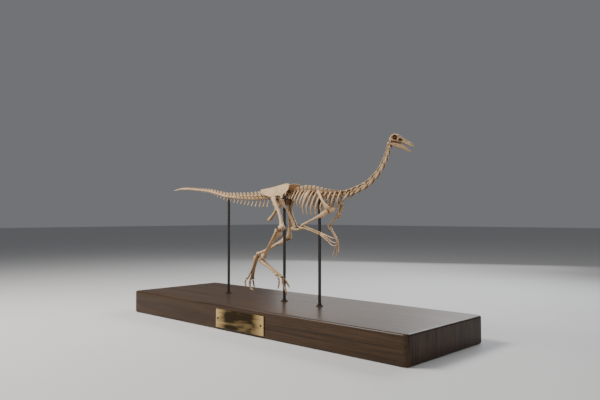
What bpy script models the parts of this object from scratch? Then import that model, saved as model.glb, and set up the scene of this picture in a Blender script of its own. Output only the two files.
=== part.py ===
"""Mounted ornithomimid dinosaur skeleton, life size, running, on a wooden base with three steel rods.

Metres, +Z up. The origin is the centre of the base's underside, +X points along the base towards
the head and +Y to the animal's left. Run: blender --background --python part.py
"""

import math

import bmesh
import bpy
from mathutils import Matrix, Vector

GAP = 0.0003  # kept between neighbouring pieces
JOINT_GAP = 0.0008  # kept at both ends of a run of vertebrae

# ---------------------------------------------------------------- stand
BASE_LENGTH = 4.04
BASE_WIDTH = 1.292
BASE_HEIGHT = 0.266
BASE_CORNER = 0.045
BASE_EASE = 0.020
PLAQUE_LENGTH = 0.742
PLAQUE_HEIGHT = 0.196
PLAQUE_MIDDLE = 0.1225  # above the floor
PLAQUE_THICKNESS = 0.014
PLAQUE_EASE = 0.004
SCREW_DIAMETER = 0.020
SCREW_HEIGHT = 0.006
SCREW_INSET = 0.036
ROD_DIAMETER = 0.032
FLANGE_DIAMETER = 0.078
FLANGE_HEIGHT = 0.010
RODS = {  # name: (x, height of the top)
    "tail": (-0.952, 1.411),
    "pelvis": (0.006, 1.412),
    "chest": (0.526, 1.385),
}

# ---------------------------------------------------------------- backbone
# Centres of the vertebral bodies, (x, z), from the skull to the tip of the tail.
COLUMN = (
    (1.415, 1.898), (1.404, 1.851), (1.376, 1.772), (1.325, 1.680), (1.267, 1.612), (1.187, 1.545),
    (1.110, 1.501), (0.954, 1.448), (0.843, 1.424), (0.720, 1.413), (0.550, 1.419), (0.350, 1.435),
    (0.120, 1.442), (-0.120, 1.434), (-0.300, 1.420), (-0.453, 1.411), (-0.747, 1.424),
    (-0.991, 1.446), (-1.206, 1.490), (-1.369, 1.522), (-1.709, 1.556), (-1.930, 1.566),
    (-2.115, 1.550),
)
SKULL_GAP = 0.008
NECK_END_X = 0.862
TRUNK_END_X = 0.128
SACRUM_END_X = -0.235
NECK_VERTEBRAE = 10
TRUNK_VERTEBRAE = 13
SACRAL_VERTEBRAE = 6
TAIL_VERTEBRAE = 31
NECK_SPLIT = (3, 7)
TAIL_SPLIT = (10, 20)
TAIL_SHORTENING = 0.22  # how much shorter the last vertebra of the tail is than the first
BODY_SIDES = 6

# ---------------------------------------------------------------- limb joints (x, y, z)
HIP_HALF_WIDTH = 0.090
HIP = (-0.034, HIP_HALF_WIDTH, 1.397)
TROCHANTER_OUT = 0.044
LEGS = {
    "left": {
        "knee_faces": (1.0, -0.9, 0.0),
        "fibula_out": (0.048, 0.038, 0.027, 0.026),
        "shin_shift": (-0.010, 0.0, -0.006),
        "shin_clearance": 0.010,
        "heel_clearance": 0.020,
        "heel_shift": -0.004,
        "knee": (-0.070, 0.150, 0.967),
        "ankle": (-0.500, 0.054, 0.744),
        "foot": ((-0.700, 0.060, 0.446), (-0.656, 0.090, 0.438), (-0.651, 0.125, 0.444)),
        "toes": (
            ((-0.716, 0.055, 0.428), (-0.708, 0.050, 0.402), (-0.688, 0.050, 0.364)),
            ((-0.672, 0.090, 0.411), (-0.665, 0.090, 0.370), (-0.647, 0.090, 0.338), (-0.604, 0.090, 0.320)),
            ((-0.652, 0.130, 0.423), (-0.650, 0.136, 0.392), (-0.640, 0.139, 0.350)),
        ),
    },
    "right": {
        "knee_faces": (1.0, 0.3, 0.0),
        "fibula_out": (0.058, 0.043, 0.028, 0.026),
        "shin_shift": (-0.022, 0.0, 0.004),
        "shin_clearance": 0.020,
        "heel_clearance": 0.010,
        "heel_shift": -0.029,
        "knee": (0.222, -0.249, 1.066),
        "ankle": (-0.143, -0.195, 0.739),
        "foot": ((0.124, -0.130, 0.540), (0.133, -0.155, 0.545), (0.081, -0.185, 0.562)),
        "toes": (
            ((0.130, -0.115, 0.514), (0.155, -0.105, 0.482), (0.188, -0.100, 0.434)),
            ((0.135, -0.150, 0.514), (0.130, -0.145, 0.472), (0.152, -0.140, 0.436), (0.190, -0.140, 0.363)),
            ((0.108, -0.190, 0.533), (0.116, -0.190, 0.486), (0.105, -0.190, 0.451), (0.097, -0.190, 0.421)),
        ),
    },
}
ARMS = {
    "left": {
        "blade": ((0.667, 0.108, 1.462), (0.664, 0.134, 1.372), (0.696, 0.138, 1.321)),
        "coracoid": ((0.716, 0.129, 1.289), (0.736, 0.114, 1.296), (0.752, 0.102, 1.310)),
        "shoulder": (0.680, 0.142, 1.229),
        "elbow": (0.450, 0.245, 1.101),
        "wrist": (0.630, 0.170, 0.950),
        "knuckles": ((0.651, 0.165, 0.889), (0.624, 0.170, 0.882), (0.596, 0.180, 0.885)),
        "tips": ((0.648, 0.155, 0.814), (0.602, 0.165, 0.769), (0.547, 0.175, 0.760)),
    },
    "right": {
        "blade": ((0.597, -0.112, 1.467), (0.675, -0.136, 1.374), (0.721, -0.140, 1.321)),
        "coracoid": ((0.762, -0.129, 1.270), (0.794, -0.113, 1.268), (0.817, -0.099, 1.277)),
        "shoulder": (0.760, -0.152, 1.245),
        "elbow": (0.531, -0.285, 1.106),
        "wrist": (0.731, -0.220, 1.029),
        "knuckles": ((0.845, -0.235, 1.006), (0.856, -0.240, 0.981), (0.856, -0.245, 0.958)),
        "tips": ((0.944, -0.250, 0.988), (0.961, -0.255, 0.945), (0.959, -0.260, 0.913)),
    },
}

# ---------------------------------------------------------------- head
HEAD_PITCH = math.radians(16.5)
HEAD_TURN = math.radians(28.0)
HEAD_ORIGIN = (1.416, 0.0, 1.906)  # the knob that the first neck vertebra carries
SKULL_PROFILE = (  # along the head, top, bottom, half width
    (-0.012, 0.034, 0.012, 0.012), (0.004, 0.062, 0.000, 0.034), (0.022, 0.085, 0.004, 0.041),
    (0.050, 0.087, 0.022, 0.042), (0.080, 0.079, 0.024, 0.036), (0.110, 0.069, 0.019, 0.028),
    (0.148, 0.058, 0.013, 0.021), (0.180, 0.048, 0.009, 0.017), (0.208, 0.039, 0.008, 0.014),
    (0.222, 0.029, 0.013, 0.008),
)
ORBIT = (0.038, 0.055)
ORBIT_RADIUS = 0.021
SEPTUM_HALF = 0.004
CHEEK_WINDOW = (0.087, 0.050)
CHEEK_WINDOW_RADIUS = 0.011
NOSTRIL = (0.198, 0.031)
NOSTRIL_RADIUS = 0.0045
JAW_PROFILE = (  # along the head, height of the middle, half height, distance from the midline
    (0.014, -0.017, 0.006, 0.036), (0.045, -0.011, 0.014, 0.035), (0.085, -0.010, 0.018, 0.029),
    (0.130, -0.012, 0.018, 0.021), (0.170, -0.023, 0.013, 0.013), (0.203, -0.034, 0.010, 0.006),
)
JAW_THICKNESS = 0.0045

BONE = (0.72, 0.60, 0.45, 1.0)
WALNUT = (0.075, 0.040, 0.023, 1.0)
BRASS = (0.55, 0.42, 0.20, 1.0)
BLACK_STEEL = (0.02, 0.02, 0.022, 1.0)

SIDES = {"left": 1.0, "right": -1.0}


# ---------------------------------------------------------------- scene and materials
def clear_scene():
    for obj in list(bpy.data.objects):
        bpy.data.objects.remove(obj, do_unlink=True)


def collection(name):
    group = bpy.data.collections.new(name)
    bpy.context.scene.collection.children.link(group)
    return group


def material(name, colour, roughness, metallic=0.0):
    made = bpy.data.materials.new(name)
    made.use_nodes = True
    shader = made.node_tree.nodes["Principled BSDF"]
    shader.inputs["Base Color"].default_value = colour
    shader.inputs["Roughness"].default_value = roughness
    shader.inputs["Metallic"].default_value = metallic
    return made


# ---------------------------------------------------------------- shapes
def object_from(name, shape):
    """Makes an object from a bmesh, with its faces pointing out."""
    bmesh.ops.recalc_face_normals(shape, faces=shape.faces)
    mesh = bpy.data.meshes.new(name)
    shape.to_mesh(mesh)
    shape.free()
    mesh.shade_smooth()
    mesh.set_sharp_from_angle(angle=math.radians(40))
    return bpy.data.objects.new(name, mesh)


def add_rings(shape, rings):
    """Skins a row of rings with the same number of points and closes both ends."""
    rows = [[shape.verts.new(point) for point in ring] for ring in rings]
    count = len(rows[0])
    for low, high in zip(rows, rows[1:]):
        for i in range(count):
            j = (i + 1) % count
            shape.faces.new((low[i], low[j], high[j], high[i]))
    shape.faces.new(rows[0])
    shape.faces.new(rows[-1])


def ellipse(centre, across, deep, half_across, half_deep, sides):
    """A ring of points; across and deep are unit vectors."""
    points = []
    for i in range(sides):
        turn = 2.0 * math.pi * i / sides
        points.append(centre + across * (half_across * math.cos(turn)) + deep * (half_deep * math.sin(turn)))
    return points


def frames(points, front):
    """Unit vectors (along, across, deep) at each point of a path, deep staying near front."""
    found = []
    last = len(points) - 1
    for i in range(len(points)):
        along = (points[min(i + 1, last)] - points[max(i - 1, 0)]).normalized()
        deep = (front - along * front.dot(along)).normalized()
        found.append((along, deep.cross(along), deep))
    return found


def add_sweep(shape, points, sizes, front, sides=6):
    """A body along a path; sizes gives (half across, half deep) at each point."""
    points = [Vector(point) for point in points]
    rings = []
    for point, (_, across, deep), (half_across, half_deep) in zip(points, frames(points, Vector(front)), sizes):
        rings.append(ellipse(point, across, deep, half_across, half_deep, sides))
    add_rings(shape, rings)


def add_bone(shape, start, end, front, profile, sides=7):
    """A long bone; profile rows are (part of the length, half across, half deep, shift forward)."""
    start = Vector(start)
    end = Vector(end)
    along = (end - start).normalized()
    deep = (Vector(front) - along * Vector(front).dot(along)).normalized()
    across = deep.cross(along)
    rings = []
    for part, half_across, half_deep, shift in profile:
        centre = start.lerp(end, part) + deep * shift
        rings.append(ellipse(centre, across, deep, half_across, half_deep, sides))
    add_rings(shape, rings)


def add_wedge(shape, foot, top, along, foot_half, top_half):
    """A tapered block from foot to top; the halves are (along, across)."""
    foot = Vector(foot)
    top = Vector(top)
    rise = (top - foot).normalized()
    across = rise.cross(along).normalized()
    ahead = across.cross(rise).normalized()
    rings = []
    for centre, (half_along, half_across) in ((foot, foot_half), (top, top_half)):
        corners = ((1, 1), (-1, 1), (-1, -1), (1, -1))
        rings.append([centre + ahead * (half_along * a) + across * (half_across * b) for a, b in corners])
    add_rings(shape, rings)


def evaluated_copy(obj, name):
    """A mesh object with the modifiers of obj made real; obj is removed."""
    bpy.context.scene.collection.objects.link(obj)
    bpy.context.view_layer.update()
    real = obj.evaluated_get(bpy.context.evaluated_depsgraph_get())
    mesh = bpy.data.meshes.new_from_object(real)
    mesh.name = name
    made = bpy.data.objects.new(name, mesh)
    made.matrix_world = obj.matrix_world
    bpy.data.objects.remove(obj, do_unlink=True)
    return made


def boolean(obj, cutter, operation):
    """Applies one exact Boolean and removes the second body."""
    bpy.context.scene.collection.objects.link(cutter)
    step = obj.modifiers.new("join", "BOOLEAN")
    step.operation = operation
    step.solver = "EXACT"
    step.object = cutter
    made = evaluated_copy(obj, obj.name)
    bpy.data.objects.remove(cutter, do_unlink=True)
    return made


def tidy(obj):
    """Closes the hairline edges that a Boolean can leave."""
    shape = bmesh.new()
    shape.from_mesh(obj.data)
    bmesh.ops.remove_doubles(shape, verts=shape.verts, dist=0.00005)
    bmesh.ops.dissolve_degenerate(shape, dist=0.00005, edges=shape.edges)
    shape.to_mesh(obj.data)
    shape.free()


def fuse(name, shapes):
    """Joins bmeshes into one body; the shells inside each bmesh don't touch one another."""
    made = object_from(name, shapes[0])
    for number, shape in enumerate(shapes[1:]):
        made = boolean(made, object_from(f"{name}_{number}", shape), "UNION")
    made.name = name
    tidy(made)
    return made


def one_sweep(name, points, sizes, front, sides=6):
    shape = bmesh.new()
    add_sweep(shape, points, sizes, front, sides)
    return object_from(name, shape)


def cylinder(radius, length, sides=24):
    shape = bmesh.new()
    bmesh.ops.create_cone(
        shape, cap_ends=True, cap_tris=False, segments=sides, radius1=radius, radius2=radius, depth=length
    )
    return shape


# ---------------------------------------------------------------- stand
def bevel_modifier(obj, width, segments):
    step = obj.modifiers.new("eased edges", "BEVEL")
    step.width = width
    step.segments = segments
    step.limit_method = "ANGLE"
    step.angle_limit = math.radians(50)


def block(name, size, corner, segments):
    """A box centred on its own origin, with rounded edges between its first two faces' sides."""
    shape = bmesh.new()
    bmesh.ops.create_cube(shape, size=1.0)
    bmesh.ops.scale(shape, vec=size, verts=shape.verts)
    if corner:
        upright = [edge for edge in shape.edges if abs(edge.verts[0].co.z - edge.verts[1].co.z) > size[2] / 2]
        bmesh.ops.bevel(shape, geom=upright, offset=corner, segments=segments, profile=0.5, affect="EDGES")
    return object_from(name, shape)


def make_base():
    base = block("stand_base", (BASE_LENGTH, BASE_WIDTH, BASE_HEIGHT), BASE_CORNER, 4)
    base.location.z = BASE_HEIGHT / 2
    bevel_modifier(base, BASE_EASE, 1)
    return base


def make_plaque():
    plaque = block("stand_plaque", (PLAQUE_LENGTH, PLAQUE_THICKNESS, PLAQUE_HEIGHT), 0.0, 1)
    plaque.location = (0.0, -BASE_WIDTH / 2 - GAP - PLAQUE_THICKNESS / 2, PLAQUE_MIDDLE)
    bevel_modifier(plaque, PLAQUE_EASE, 1)
    return plaque


def make_screw(side, sign):
    """A low button head on the plaque."""
    shape = bmesh.new()
    bmesh.ops.create_cone(
        shape, cap_ends=True, segments=12, radius1=SCREW_DIAMETER / 2, radius2=SCREW_DIAMETER / 3, depth=SCREW_HEIGHT
    )
    screw = object_from(f"stand_screw_{side}", shape)
    screw.rotation_euler.x = math.radians(90)
    face = -BASE_WIDTH / 2 - 2 * GAP - PLAQUE_THICKNESS
    reach = PLAQUE_LENGTH / 2 - SCREW_INSET
    screw.location = (-sign * reach, face - SCREW_HEIGHT / 2, PLAQUE_MIDDLE)
    return screw


def make_rod(name, x, top):
    """A steel rod that starts on its flange and ends under the bones."""
    foot = BASE_HEIGHT + 2 * GAP + FLANGE_HEIGHT
    rod = object_from(f"stand_rod_{name}", cylinder(ROD_DIAMETER / 2, top - foot, 14))
    rod.location = (x, 0.0, (top + foot) / 2)
    return rod


def make_flange(name, x):
    flange = object_from(f"stand_flange_{name}", cylinder(FLANGE_DIAMETER / 2, FLANGE_HEIGHT, 20))
    flange.location = (x, 0.0, BASE_HEIGHT + GAP + FLANGE_HEIGHT / 2)
    return flange


# ---------------------------------------------------------------- backbone
class Column:
    """A smooth curve through COLUMN, read by its length from the skull."""

    STEPS = 12

    def __init__(self, controls):
        ends = [controls[0]] + list(controls) + [controls[-1]]
        self.points = []
        for a, b, c, d in zip(ends, ends[1:], ends[2:], ends[3:]):
            self.points += [self.blend(a, b, c, d, i / self.STEPS) for i in range(self.STEPS)]
        self.points.append(Vector((controls[-1][0], 0.0, controls[-1][1])))
        self.lengths = [0.0]
        for a, b in zip(self.points, self.points[1:]):
            self.lengths.append(self.lengths[-1] + (b - a).length)

    @staticmethod
    def blend(a, b, c, d, t):
        """Catmull-Rom between b and c."""
        w = (-t + 2 * t**2 - t**3, 2 - 5 * t**2 + 3 * t**3, t + 4 * t**2 - 3 * t**3, t**3 - t**2)
        x, z = (sum(k * p[axis] for k, p in zip(w, (a, b, c, d))) / 2 for axis in (0, 1))
        return Vector((x, 0.0, z))

    def at(self, s):
        """The point, the direction towards the tail and the upward direction at length s."""
        i = 1
        while i < len(self.lengths) - 1 and self.lengths[i] < s:
            i += 1
        span = self.lengths[i] - self.lengths[i - 1]
        a, b = self.points[i - 1], self.points[i]
        before = self.points[max(i - 3, 0)]
        after = self.points[min(i + 2, len(self.points) - 1)]
        along = (after - before).normalized()
        up = Vector((0.0, 1.0, 0.0)).cross(along)
        return a.lerp(b, (s - self.lengths[i - 1]) / span), along, up

    def length_at_x(self, x):
        for i in range(1, len(self.points)):
            if self.points[i].x <= x:
                part = (self.points[i - 1].x - x) / (self.points[i - 1].x - self.points[i].x)
                return self.lengths[i - 1] + part * (self.lengths[i] - self.lengths[i - 1])
        return self.lengths[-1]


def split(start, end, weights):
    """Cuts a stretch of the column into vertebrae; returns their joints."""
    total = sum(weights)
    joints = [start]
    for weight in weights:
        joints.append(joints[-1] + (end - start) * weight / total)
    return joints


def mix(a, b, t):
    return a + (b - a) * max(0.0, min(1.0, t))


def add_centra(shape, column, joints, radius, squash, waist=None):
    """Vertebral bodies in a row; radius(s) is the half width, squash its height part."""
    points = []
    sizes = []
    for a, b in zip(joints, joints[1:]):
        stops = [(a, 1.0)] if waist is None else [(a, 1.0), ((a + b) / 2, waist)]
        for s, part in stops:
            points.append(column.at(s)[0])
            sizes.append((radius(s) * part, radius(s) * part * squash))
    points.append(column.at(joints[-1])[0])
    sizes.append((radius(joints[-1]), radius(joints[-1]) * squash))
    middle = joints[len(joints) // 2]
    add_sweep(shape, points, sizes, column.at(middle)[2], BODY_SIDES)


def add_spines(shape, column, joints, rise, half_length, half_width, lean):
    """Arch and spine of each vertebra as one tapered blade; rise(s) is its height over the centre."""
    for a, b in zip(joints, joints[1:]):
        middle = (a + b) / 2
        point, along, up = column.at(middle)
        size = b - a
        tall = rise(middle)
        wide = half_width(middle)
        foot = point + up * 0.004
        top = point + up * tall + along * (lean * tall)
        add_wedge(shape, foot, top, along, (size * 0.38, wide), (size * half_length, wide * 0.4))


def add_wings(shape, column, joints, sign, reach, lift, sweep_back, thick):
    """Transverse processes on one side."""
    for a, b in zip(joints, joints[1:]):
        point, along, up = column.at((a + b) / 2)
        size = b - a
        foot = point + up * 0.008 + Vector((0.0, sign * 0.004, 0.0))
        top = point + up * lift + along * sweep_back + Vector((0.0, sign * reach, 0.0))
        add_wedge(shape, foot, top, along, (size * 0.30, thick), (size * 0.16, thick * 0.6))


def inset(joints):
    """The same joints with half a gap taken off both ends."""
    return [joints[0] + JOINT_GAP] + joints[1:-1] + [joints[-1] - JOINT_GAP]


def neck_radius(start, end):
    return lambda s: mix(0.0125, 0.021, (s - start) / (end - start))


def make_neck(column, start, end):
    weights = [0.45 + 0.60 * math.sin(math.pi * (i + 0.9) / 11.5) for i in range(NECK_VERTEBRAE)]
    joints = split(start, end, weights)
    radius = neck_radius(start, end)
    rise = lambda s: mix(0.017, 0.034, (s - start) / (end - start))
    made = []
    names = ("neck_upper", "neck_middle", "neck_lower")
    bounds = (0,) + NECK_SPLIT + (NECK_VERTEBRAE,)
    for name, first, last in zip(names, bounds, bounds[1:]):
        run = inset(joints[first:last + 1])
        bodies = bmesh.new()
        add_centra(bodies, column, run, radius, 0.85, 0.74)
        arches = bmesh.new()
        add_spines(arches, column, run, rise, 0.20, lambda s: 0.014, 0.10)
        ribs = bmesh.new()
        for a, b in zip(run, run[1:]):
            for sign in SIDES.values():
                add_neck_rib(ribs, column, a, b, sign, radius((a + b) / 2))
        made.append(fuse(name, [bodies, arches, ribs]))
    return made


def add_neck_rib(shape, column, a, b, sign, radius):
    """A short rod under the side of a neck vertebra, pointing back."""
    point, along, up = column.at(a + (b - a) * 0.20)
    size = b - a
    foot = point - up * (radius * 0.3) + Vector((0.0, sign * radius * 0.5, 0.0))
    tip = point - up * (radius * 1.45) + along * (size * 0.60) + Vector((0.0, sign * radius * 1.25, 0.0))
    add_wedge(shape, foot, tip, along, (size * 0.10, 0.005), (0.003, 0.003))


RIB_DEPTHS = (0.102, 0.142, 0.170, 0.190, 0.205, 0.212, 0.214, 0.210, 0.150, 0.135, 0.100, 0.075, 0.050)
RIB_HALF_WIDTHS = (0.056, 0.072, 0.086, 0.096, 0.106, 0.114, 0.118, 0.120, 0.112, 0.104, 0.092, 0.078, 0.060)
RIB_LINE = (  # part of the half width, lift over the vertebra, part of the depth, part of the lean
    (0.05, 0.009, 0.00, 0.00), (0.55, 0.032, 0.00, 0.00), (0.80, 0.006, 0.03, 0.10),
    (0.97, 0.000, 0.33, 0.42), (0.99, 0.000, 0.62, 0.76), (0.72, 0.000, 1.00, 1.00),
)
RIB_LEAN = 0.30  # how far a rib leans to the tail for its depth
RIB_SIZES = ((0.007, 0.009), (0.0045, 0.010), (0.0045, 0.011), (0.004, 0.010), (0.004, 0.008), (0.003, 0.005))


def rib_points(column, middle, sign, half_width, depth):
    """A rib's line: from the side of its vertebra out, round the flank and down."""
    point, along, up = column.at(middle)
    path = []
    for out, lift, fall, lean in RIB_LINE:
        aside = Vector((0.0, sign * half_width * out, lift - depth * fall))
        path.append(point + aside + along * (RIB_LEAN * depth * lean))
    return path


def make_rib_cage(column, start, end):
    """The trunk vertebrae with their ribs, parted along the midline."""
    joints = inset(split(start, end, [1.0] * TRUNK_VERTEBRAE))
    radius = lambda s: mix(0.021, 0.024, (s - start) / (end - start))
    part = lambda s: (s - start) / (end - start)
    rise = lambda s: mix(0.041, 0.097, 1.75 * part(s)) - 0.045 * max(0.0, part(s) - 0.76) / 0.24
    made = []
    for side, sign in SIDES.items():
        bodies = bmesh.new()
        add_centra(bodies, column, joints, radius, 0.95)
        arches = bmesh.new()
        add_spines(arches, column, joints, rise, 0.30, lambda s: 0.010, -0.04)
        odd = bmesh.new()
        even = bmesh.new()
        for i, (a, b) in enumerate(zip(joints, joints[1:])):
            path = rib_points(column, (a + b) / 2, sign, RIB_HALF_WIDTHS[i], RIB_DEPTHS[i])
            add_sweep(odd if i % 2 else even, path, RIB_SIZES, (1.0, 0.0, 0.0), 4)
        whole = fuse(f"ribcage_{side}", [bodies, arches, odd, even])
        half = bmesh.new()
        half.from_mesh(whole.data)
        everything = half.verts[:] + half.edges[:] + half.faces[:]
        cut = bmesh.ops.bisect_plane(
            half, geom=everything, dist=0.00001, plane_co=(0.0, sign * GAP / 2, 0.0),
            plane_no=(0.0, -sign, 0.0), clear_outer=True,
        )
        rim = [item for item in cut["geom_cut"] if isinstance(item, bmesh.types.BMEdge)]
        bmesh.ops.holes_fill(half, edges=rim, sides=0)
        bmesh.ops.triangulate(half, faces=[face for face in half.faces if len(face.verts) > 4])
        half.to_mesh(whole.data)
        half.free()
        made.append(whole)
    return made


def make_sacrum(column, start, end):
    joints = inset(split(start, end, [1.0] * SACRAL_VERTEBRAE))
    bodies = bmesh.new()
    add_centra(bodies, column, joints, lambda s: 0.022, 1.0)
    blade = bmesh.new()
    add_spines(blade, column, joints, lambda s: 0.084, 0.36, lambda s: 0.0095, 0.0)
    wings = []
    for sign in SIDES.values():
        shape = bmesh.new()
        add_wings(shape, column, joints, sign, 0.050, 0.020, 0.0, 0.007)
        wings.append(shape)
    return fuse("sacrum", [bodies, blade] + wings)


TAIL_RADII = ((0.0, 0.0215), (0.30, 0.019), (0.60, 0.0165), (0.83, 0.0145), (0.93, 0.009), (1.0, 0.003))
TAIL_END_SQUASH = 1.1
TAIL_WINGS = 8


def tail_radius(part):
    for (a, low), (b, high) in zip(TAIL_RADII, TAIL_RADII[1:]):
        if part <= b:
            return mix(low, high, (part - a) / (b - a))
    return TAIL_RADII[-1][1]


def make_tail(column, start, end):
    weights = [1.0 - TAIL_SHORTENING * (i / TAIL_VERTEBRAE) ** 2 for i in range(TAIL_VERTEBRAE)]
    joints = split(start, end, weights)
    part = lambda s: (s - start) / (end - start)
    radius = lambda s: tail_radius(part(s))
    rise = lambda s: mix(0.088, 0.016, part(s) / 0.66)
    drop = lambda s: mix(0.110, 0.024, part(s) / 0.56)
    half_width = lambda s: min(0.008, 0.45 * radius(s))
    names = ("tail_base", "tail_middle", "tail_end")
    bounds = (0,) + TAIL_SPLIT + (TAIL_VERTEBRAE,)
    made = []
    for name, first, last in zip(names, bounds, bounds[1:]):
        run = inset(joints[first:last + 1])
        bodies = bmesh.new()
        add_centra(bodies, column, run, radius, 1.0 if name != "tail_end" else TAIL_END_SQUASH)
        shapes = [bodies]
        if name != "tail_end":
            spines = bmesh.new()
            add_spines(spines, column, run, rise, 0.20, half_width, 0.12)
            shapes.append(spines)
            chevrons = bmesh.new()
            for joint in run[:-1]:
                add_chevron(chevrons, column, joint + 0.012, drop(joint), half_width(joint))
            shapes.append(chevrons)
        if name == "tail_base":
            for sign in SIDES.values():
                wings = bmesh.new()
                add_wings(wings, column, run[:TAIL_WINGS + 1], sign, 0.062, 0.012, 0.012, 0.005)
                shapes.append(wings)
        made.append(fuse(name, shapes))
    return made


def add_chevron(shape, column, joint, drop, half_width):
    """The haemal spine that hangs under a joint of the tail."""
    point, along, up = column.at(joint)
    foot = point - up * 0.007
    tip = point - up * drop + along * (drop * 0.42)
    add_wedge(shape, foot, tip, along, (0.008, half_width), (0.006, half_width * 0.6))


# ---------------------------------------------------------------- pelvis, on the left side at +Y
ILIUM_SECTIONS = (  # x, bottom, top, distance of the lower edge from the midline
    (-0.325, 1.464, 1.506, 0.058), (-0.250, 1.438, 1.515, 0.063), (-0.160, 1.420, 1.525, 0.070),
    (-0.085, 1.416, 1.536, 0.077), (-0.020, 1.428, 1.547, 0.081), (0.045, 1.420, 1.556, 0.085),
    (0.085, 1.446, 1.560, 0.090), (0.135, 1.466, 1.557, 0.099), (0.172, 1.492, 1.540, 0.107),
)
ILIUM_LEAN = 0.30  # how far the blade leans to the midline for its height
ILIUM_HALF_THICKNESS = 0.005
PUBIC_PEDUNCLE = ((0.046, 0.086, 1.440), (0.050, 0.086, 1.398))
ISCHIAL_PEDUNCLE = ((-0.078, 0.078, 1.436), (-0.072, 0.078, 1.398))
PUBIS_LINE = ((0.054, 0.084, 1.388), (0.058, 0.060, 1.338), (0.088, 0.026, 1.248), (0.145, 0.015, 1.150),
              (0.182, 0.016, 1.072))
PUBIS_SIZES = ((0.012, 0.022), (0.010, 0.014), (0.012, 0.012), (0.014, 0.012), (0.015, 0.020))
BOOT_LINE = ((0.106, 0.012, 1.078), (0.142, 0.015, 1.065), (0.200, 0.015, 1.059), (0.248, 0.012, 1.062))
BOOT_SIZES = ((0.006, 0.006), (0.014, 0.013), (0.014, 0.014), (0.008, 0.008))
ISCHIUM_LINE = ((-0.068, 0.078, 1.384), (-0.082, 0.038, 1.338), (-0.124, 0.0160, 1.268), (-0.180, 0.0125, 1.208),
                (-0.222, 0.0120, 1.172), (-0.244, 0.0115, 1.154))
ISCHIUM_SIZES = ((0.008, 0.017), (0.009, 0.014), (0.009, 0.013), (0.010, 0.013), (0.011, 0.018), (0.010, 0.013))
ISCHIUM_PLATE = ((-0.068, 0.074, 1.366), (0.010, 0.066, 1.326))


def mirrored(point, sign):
    return Vector((point[0], point[1] * sign, point[2]))


def make_ilium(side, sign):
    blade = bmesh.new()
    rings = []
    for x, bottom, top, out in ILIUM_SECTIONS:
        inner = out - (top - bottom) * ILIUM_LEAN
        thick = ILIUM_HALF_THICKNESS
        corners = ((out - 1.4 * thick, bottom), (out + 1.4 * thick, bottom + thick), (inner + thick, top - thick),
                   (inner, top), (inner - thick, top - thick))
        rings.append([Vector((x, sign * y, z)) for y, z in corners])
    add_rings(blade, rings)
    struts = bmesh.new()
    for foot, end in (PUBIC_PEDUNCLE, ISCHIAL_PEDUNCLE):
        add_wedge(struts, mirrored(foot, sign), mirrored(end, sign), Vector((1, 0, 0)), (0.024, 0.006), (0.016, 0.012))
    return fuse(f"ilium_{side}", [blade, struts])


def make_pubis(side, sign):
    shaft = bmesh.new()
    add_sweep(shaft, [mirrored(point, sign) for point in PUBIS_LINE], PUBIS_SIZES, (1, 0, 0), 6)
    boot = bmesh.new()
    add_sweep(boot, [mirrored(point, sign) for point in BOOT_LINE], BOOT_SIZES, (0, 0, 1), 6)
    return fuse(f"pubis_{side}", [shaft, boot])


def make_ischium(side, sign):
    shaft = bmesh.new()
    add_sweep(shaft, [mirrored(point, sign) for point in ISCHIUM_LINE], ISCHIUM_SIZES, (-1, 0, 0), 6)
    plate = bmesh.new()
    foot, end = (mirrored(point, sign) for point in ISCHIUM_PLATE)
    add_wedge(plate, foot, end, Vector((0, 0, 1)), (0.020, 0.007), (0.014, 0.004))
    return fuse(f"ischium_{side}", [shaft, plate])


# ---------------------------------------------------------------- hind legs
FEMUR_PROFILE = (
    (0.000, 0.014, 0.016, -0.002), (0.035, 0.019, 0.026, -0.003), (0.130, 0.020, 0.026, 0.000),
    (0.300, 0.018, 0.021, 0.010), (0.500, 0.018, 0.019, 0.016), (0.720, 0.019, 0.020, 0.014),
    (0.880, 0.028, 0.029, 0.006), (0.960, 0.037, 0.037, -0.002), (1.012, 0.028, 0.028, -0.002),
)
TIBIA_PROFILE = (
    (0.000, 0.032, 0.040, -0.004), (0.050, 0.033, 0.041, -0.002), (0.170, 0.022, 0.027, 0.002),
    (0.350, 0.017, 0.019, 0.000), (0.650, 0.0155, 0.016, 0.000), (0.860, 0.021, 0.018, 0.000),
    (0.955, 0.033, 0.024, 0.000), (1.000, 0.028, 0.018, 0.000),
)
KNEE_CLEARANCE = 0.038
FIBULA_AT = (-0.045, 0.170, 0.550, 0.840)
FIBULA_SIZES = ((0.007, 0.016), (0.006, 0.009), (0.005, 0.006), (0.003, 0.004))
METATARSAL_SIZES = ((0.016, 0.024), (0.013, 0.018), (0.011, 0.012), (0.012, 0.012), (0.015, 0.015), (0.012, 0.013))
METATARSAL_AT = (0.0, 0.14, 0.45, 0.75, 0.93, 0.99)
METATARSAL_SPREAD = (0.019, 0.000, -0.019)
TOE_RADII = (0.0125, 0.0150, 0.0125)
TOE_BONES = (3, 4, 4)


def make_femur(side, sign, leg):
    hip = mirrored(HIP, sign)
    top = hip + Vector((0.0, sign * TROCHANTER_OUT, 0.016))
    shaft = bmesh.new()
    add_bone(shaft, top, leg["knee"], leg["knee_faces"], FEMUR_PROFILE)
    head = bmesh.new()
    path = [top + Vector((0.0, 0.0, -0.026)), hip + Vector((0, sign * 0.018, -0.004)), hip,
            hip - Vector((0.0, sign * 0.012, 0.0)), hip - Vector((0.0, sign * 0.020, 0.0))]
    add_sweep(head, path, ((0.013, 0.013), (0.015, 0.015), (0.020, 0.020), (0.019, 0.019), (0.010, 0.010)),
              (1, 0, 0), 7)
    return fuse(f"femur_{side}", [shaft, head])


def shin(leg):
    """The two ends of the tibia."""
    knee, ankle = Vector(leg["knee"]), Vector(leg["ankle"])
    along = (ankle - knee).normalized()
    return knee + along * KNEE_CLEARANCE + Vector(leg["shin_shift"]), ankle - along * leg["shin_clearance"]


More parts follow.
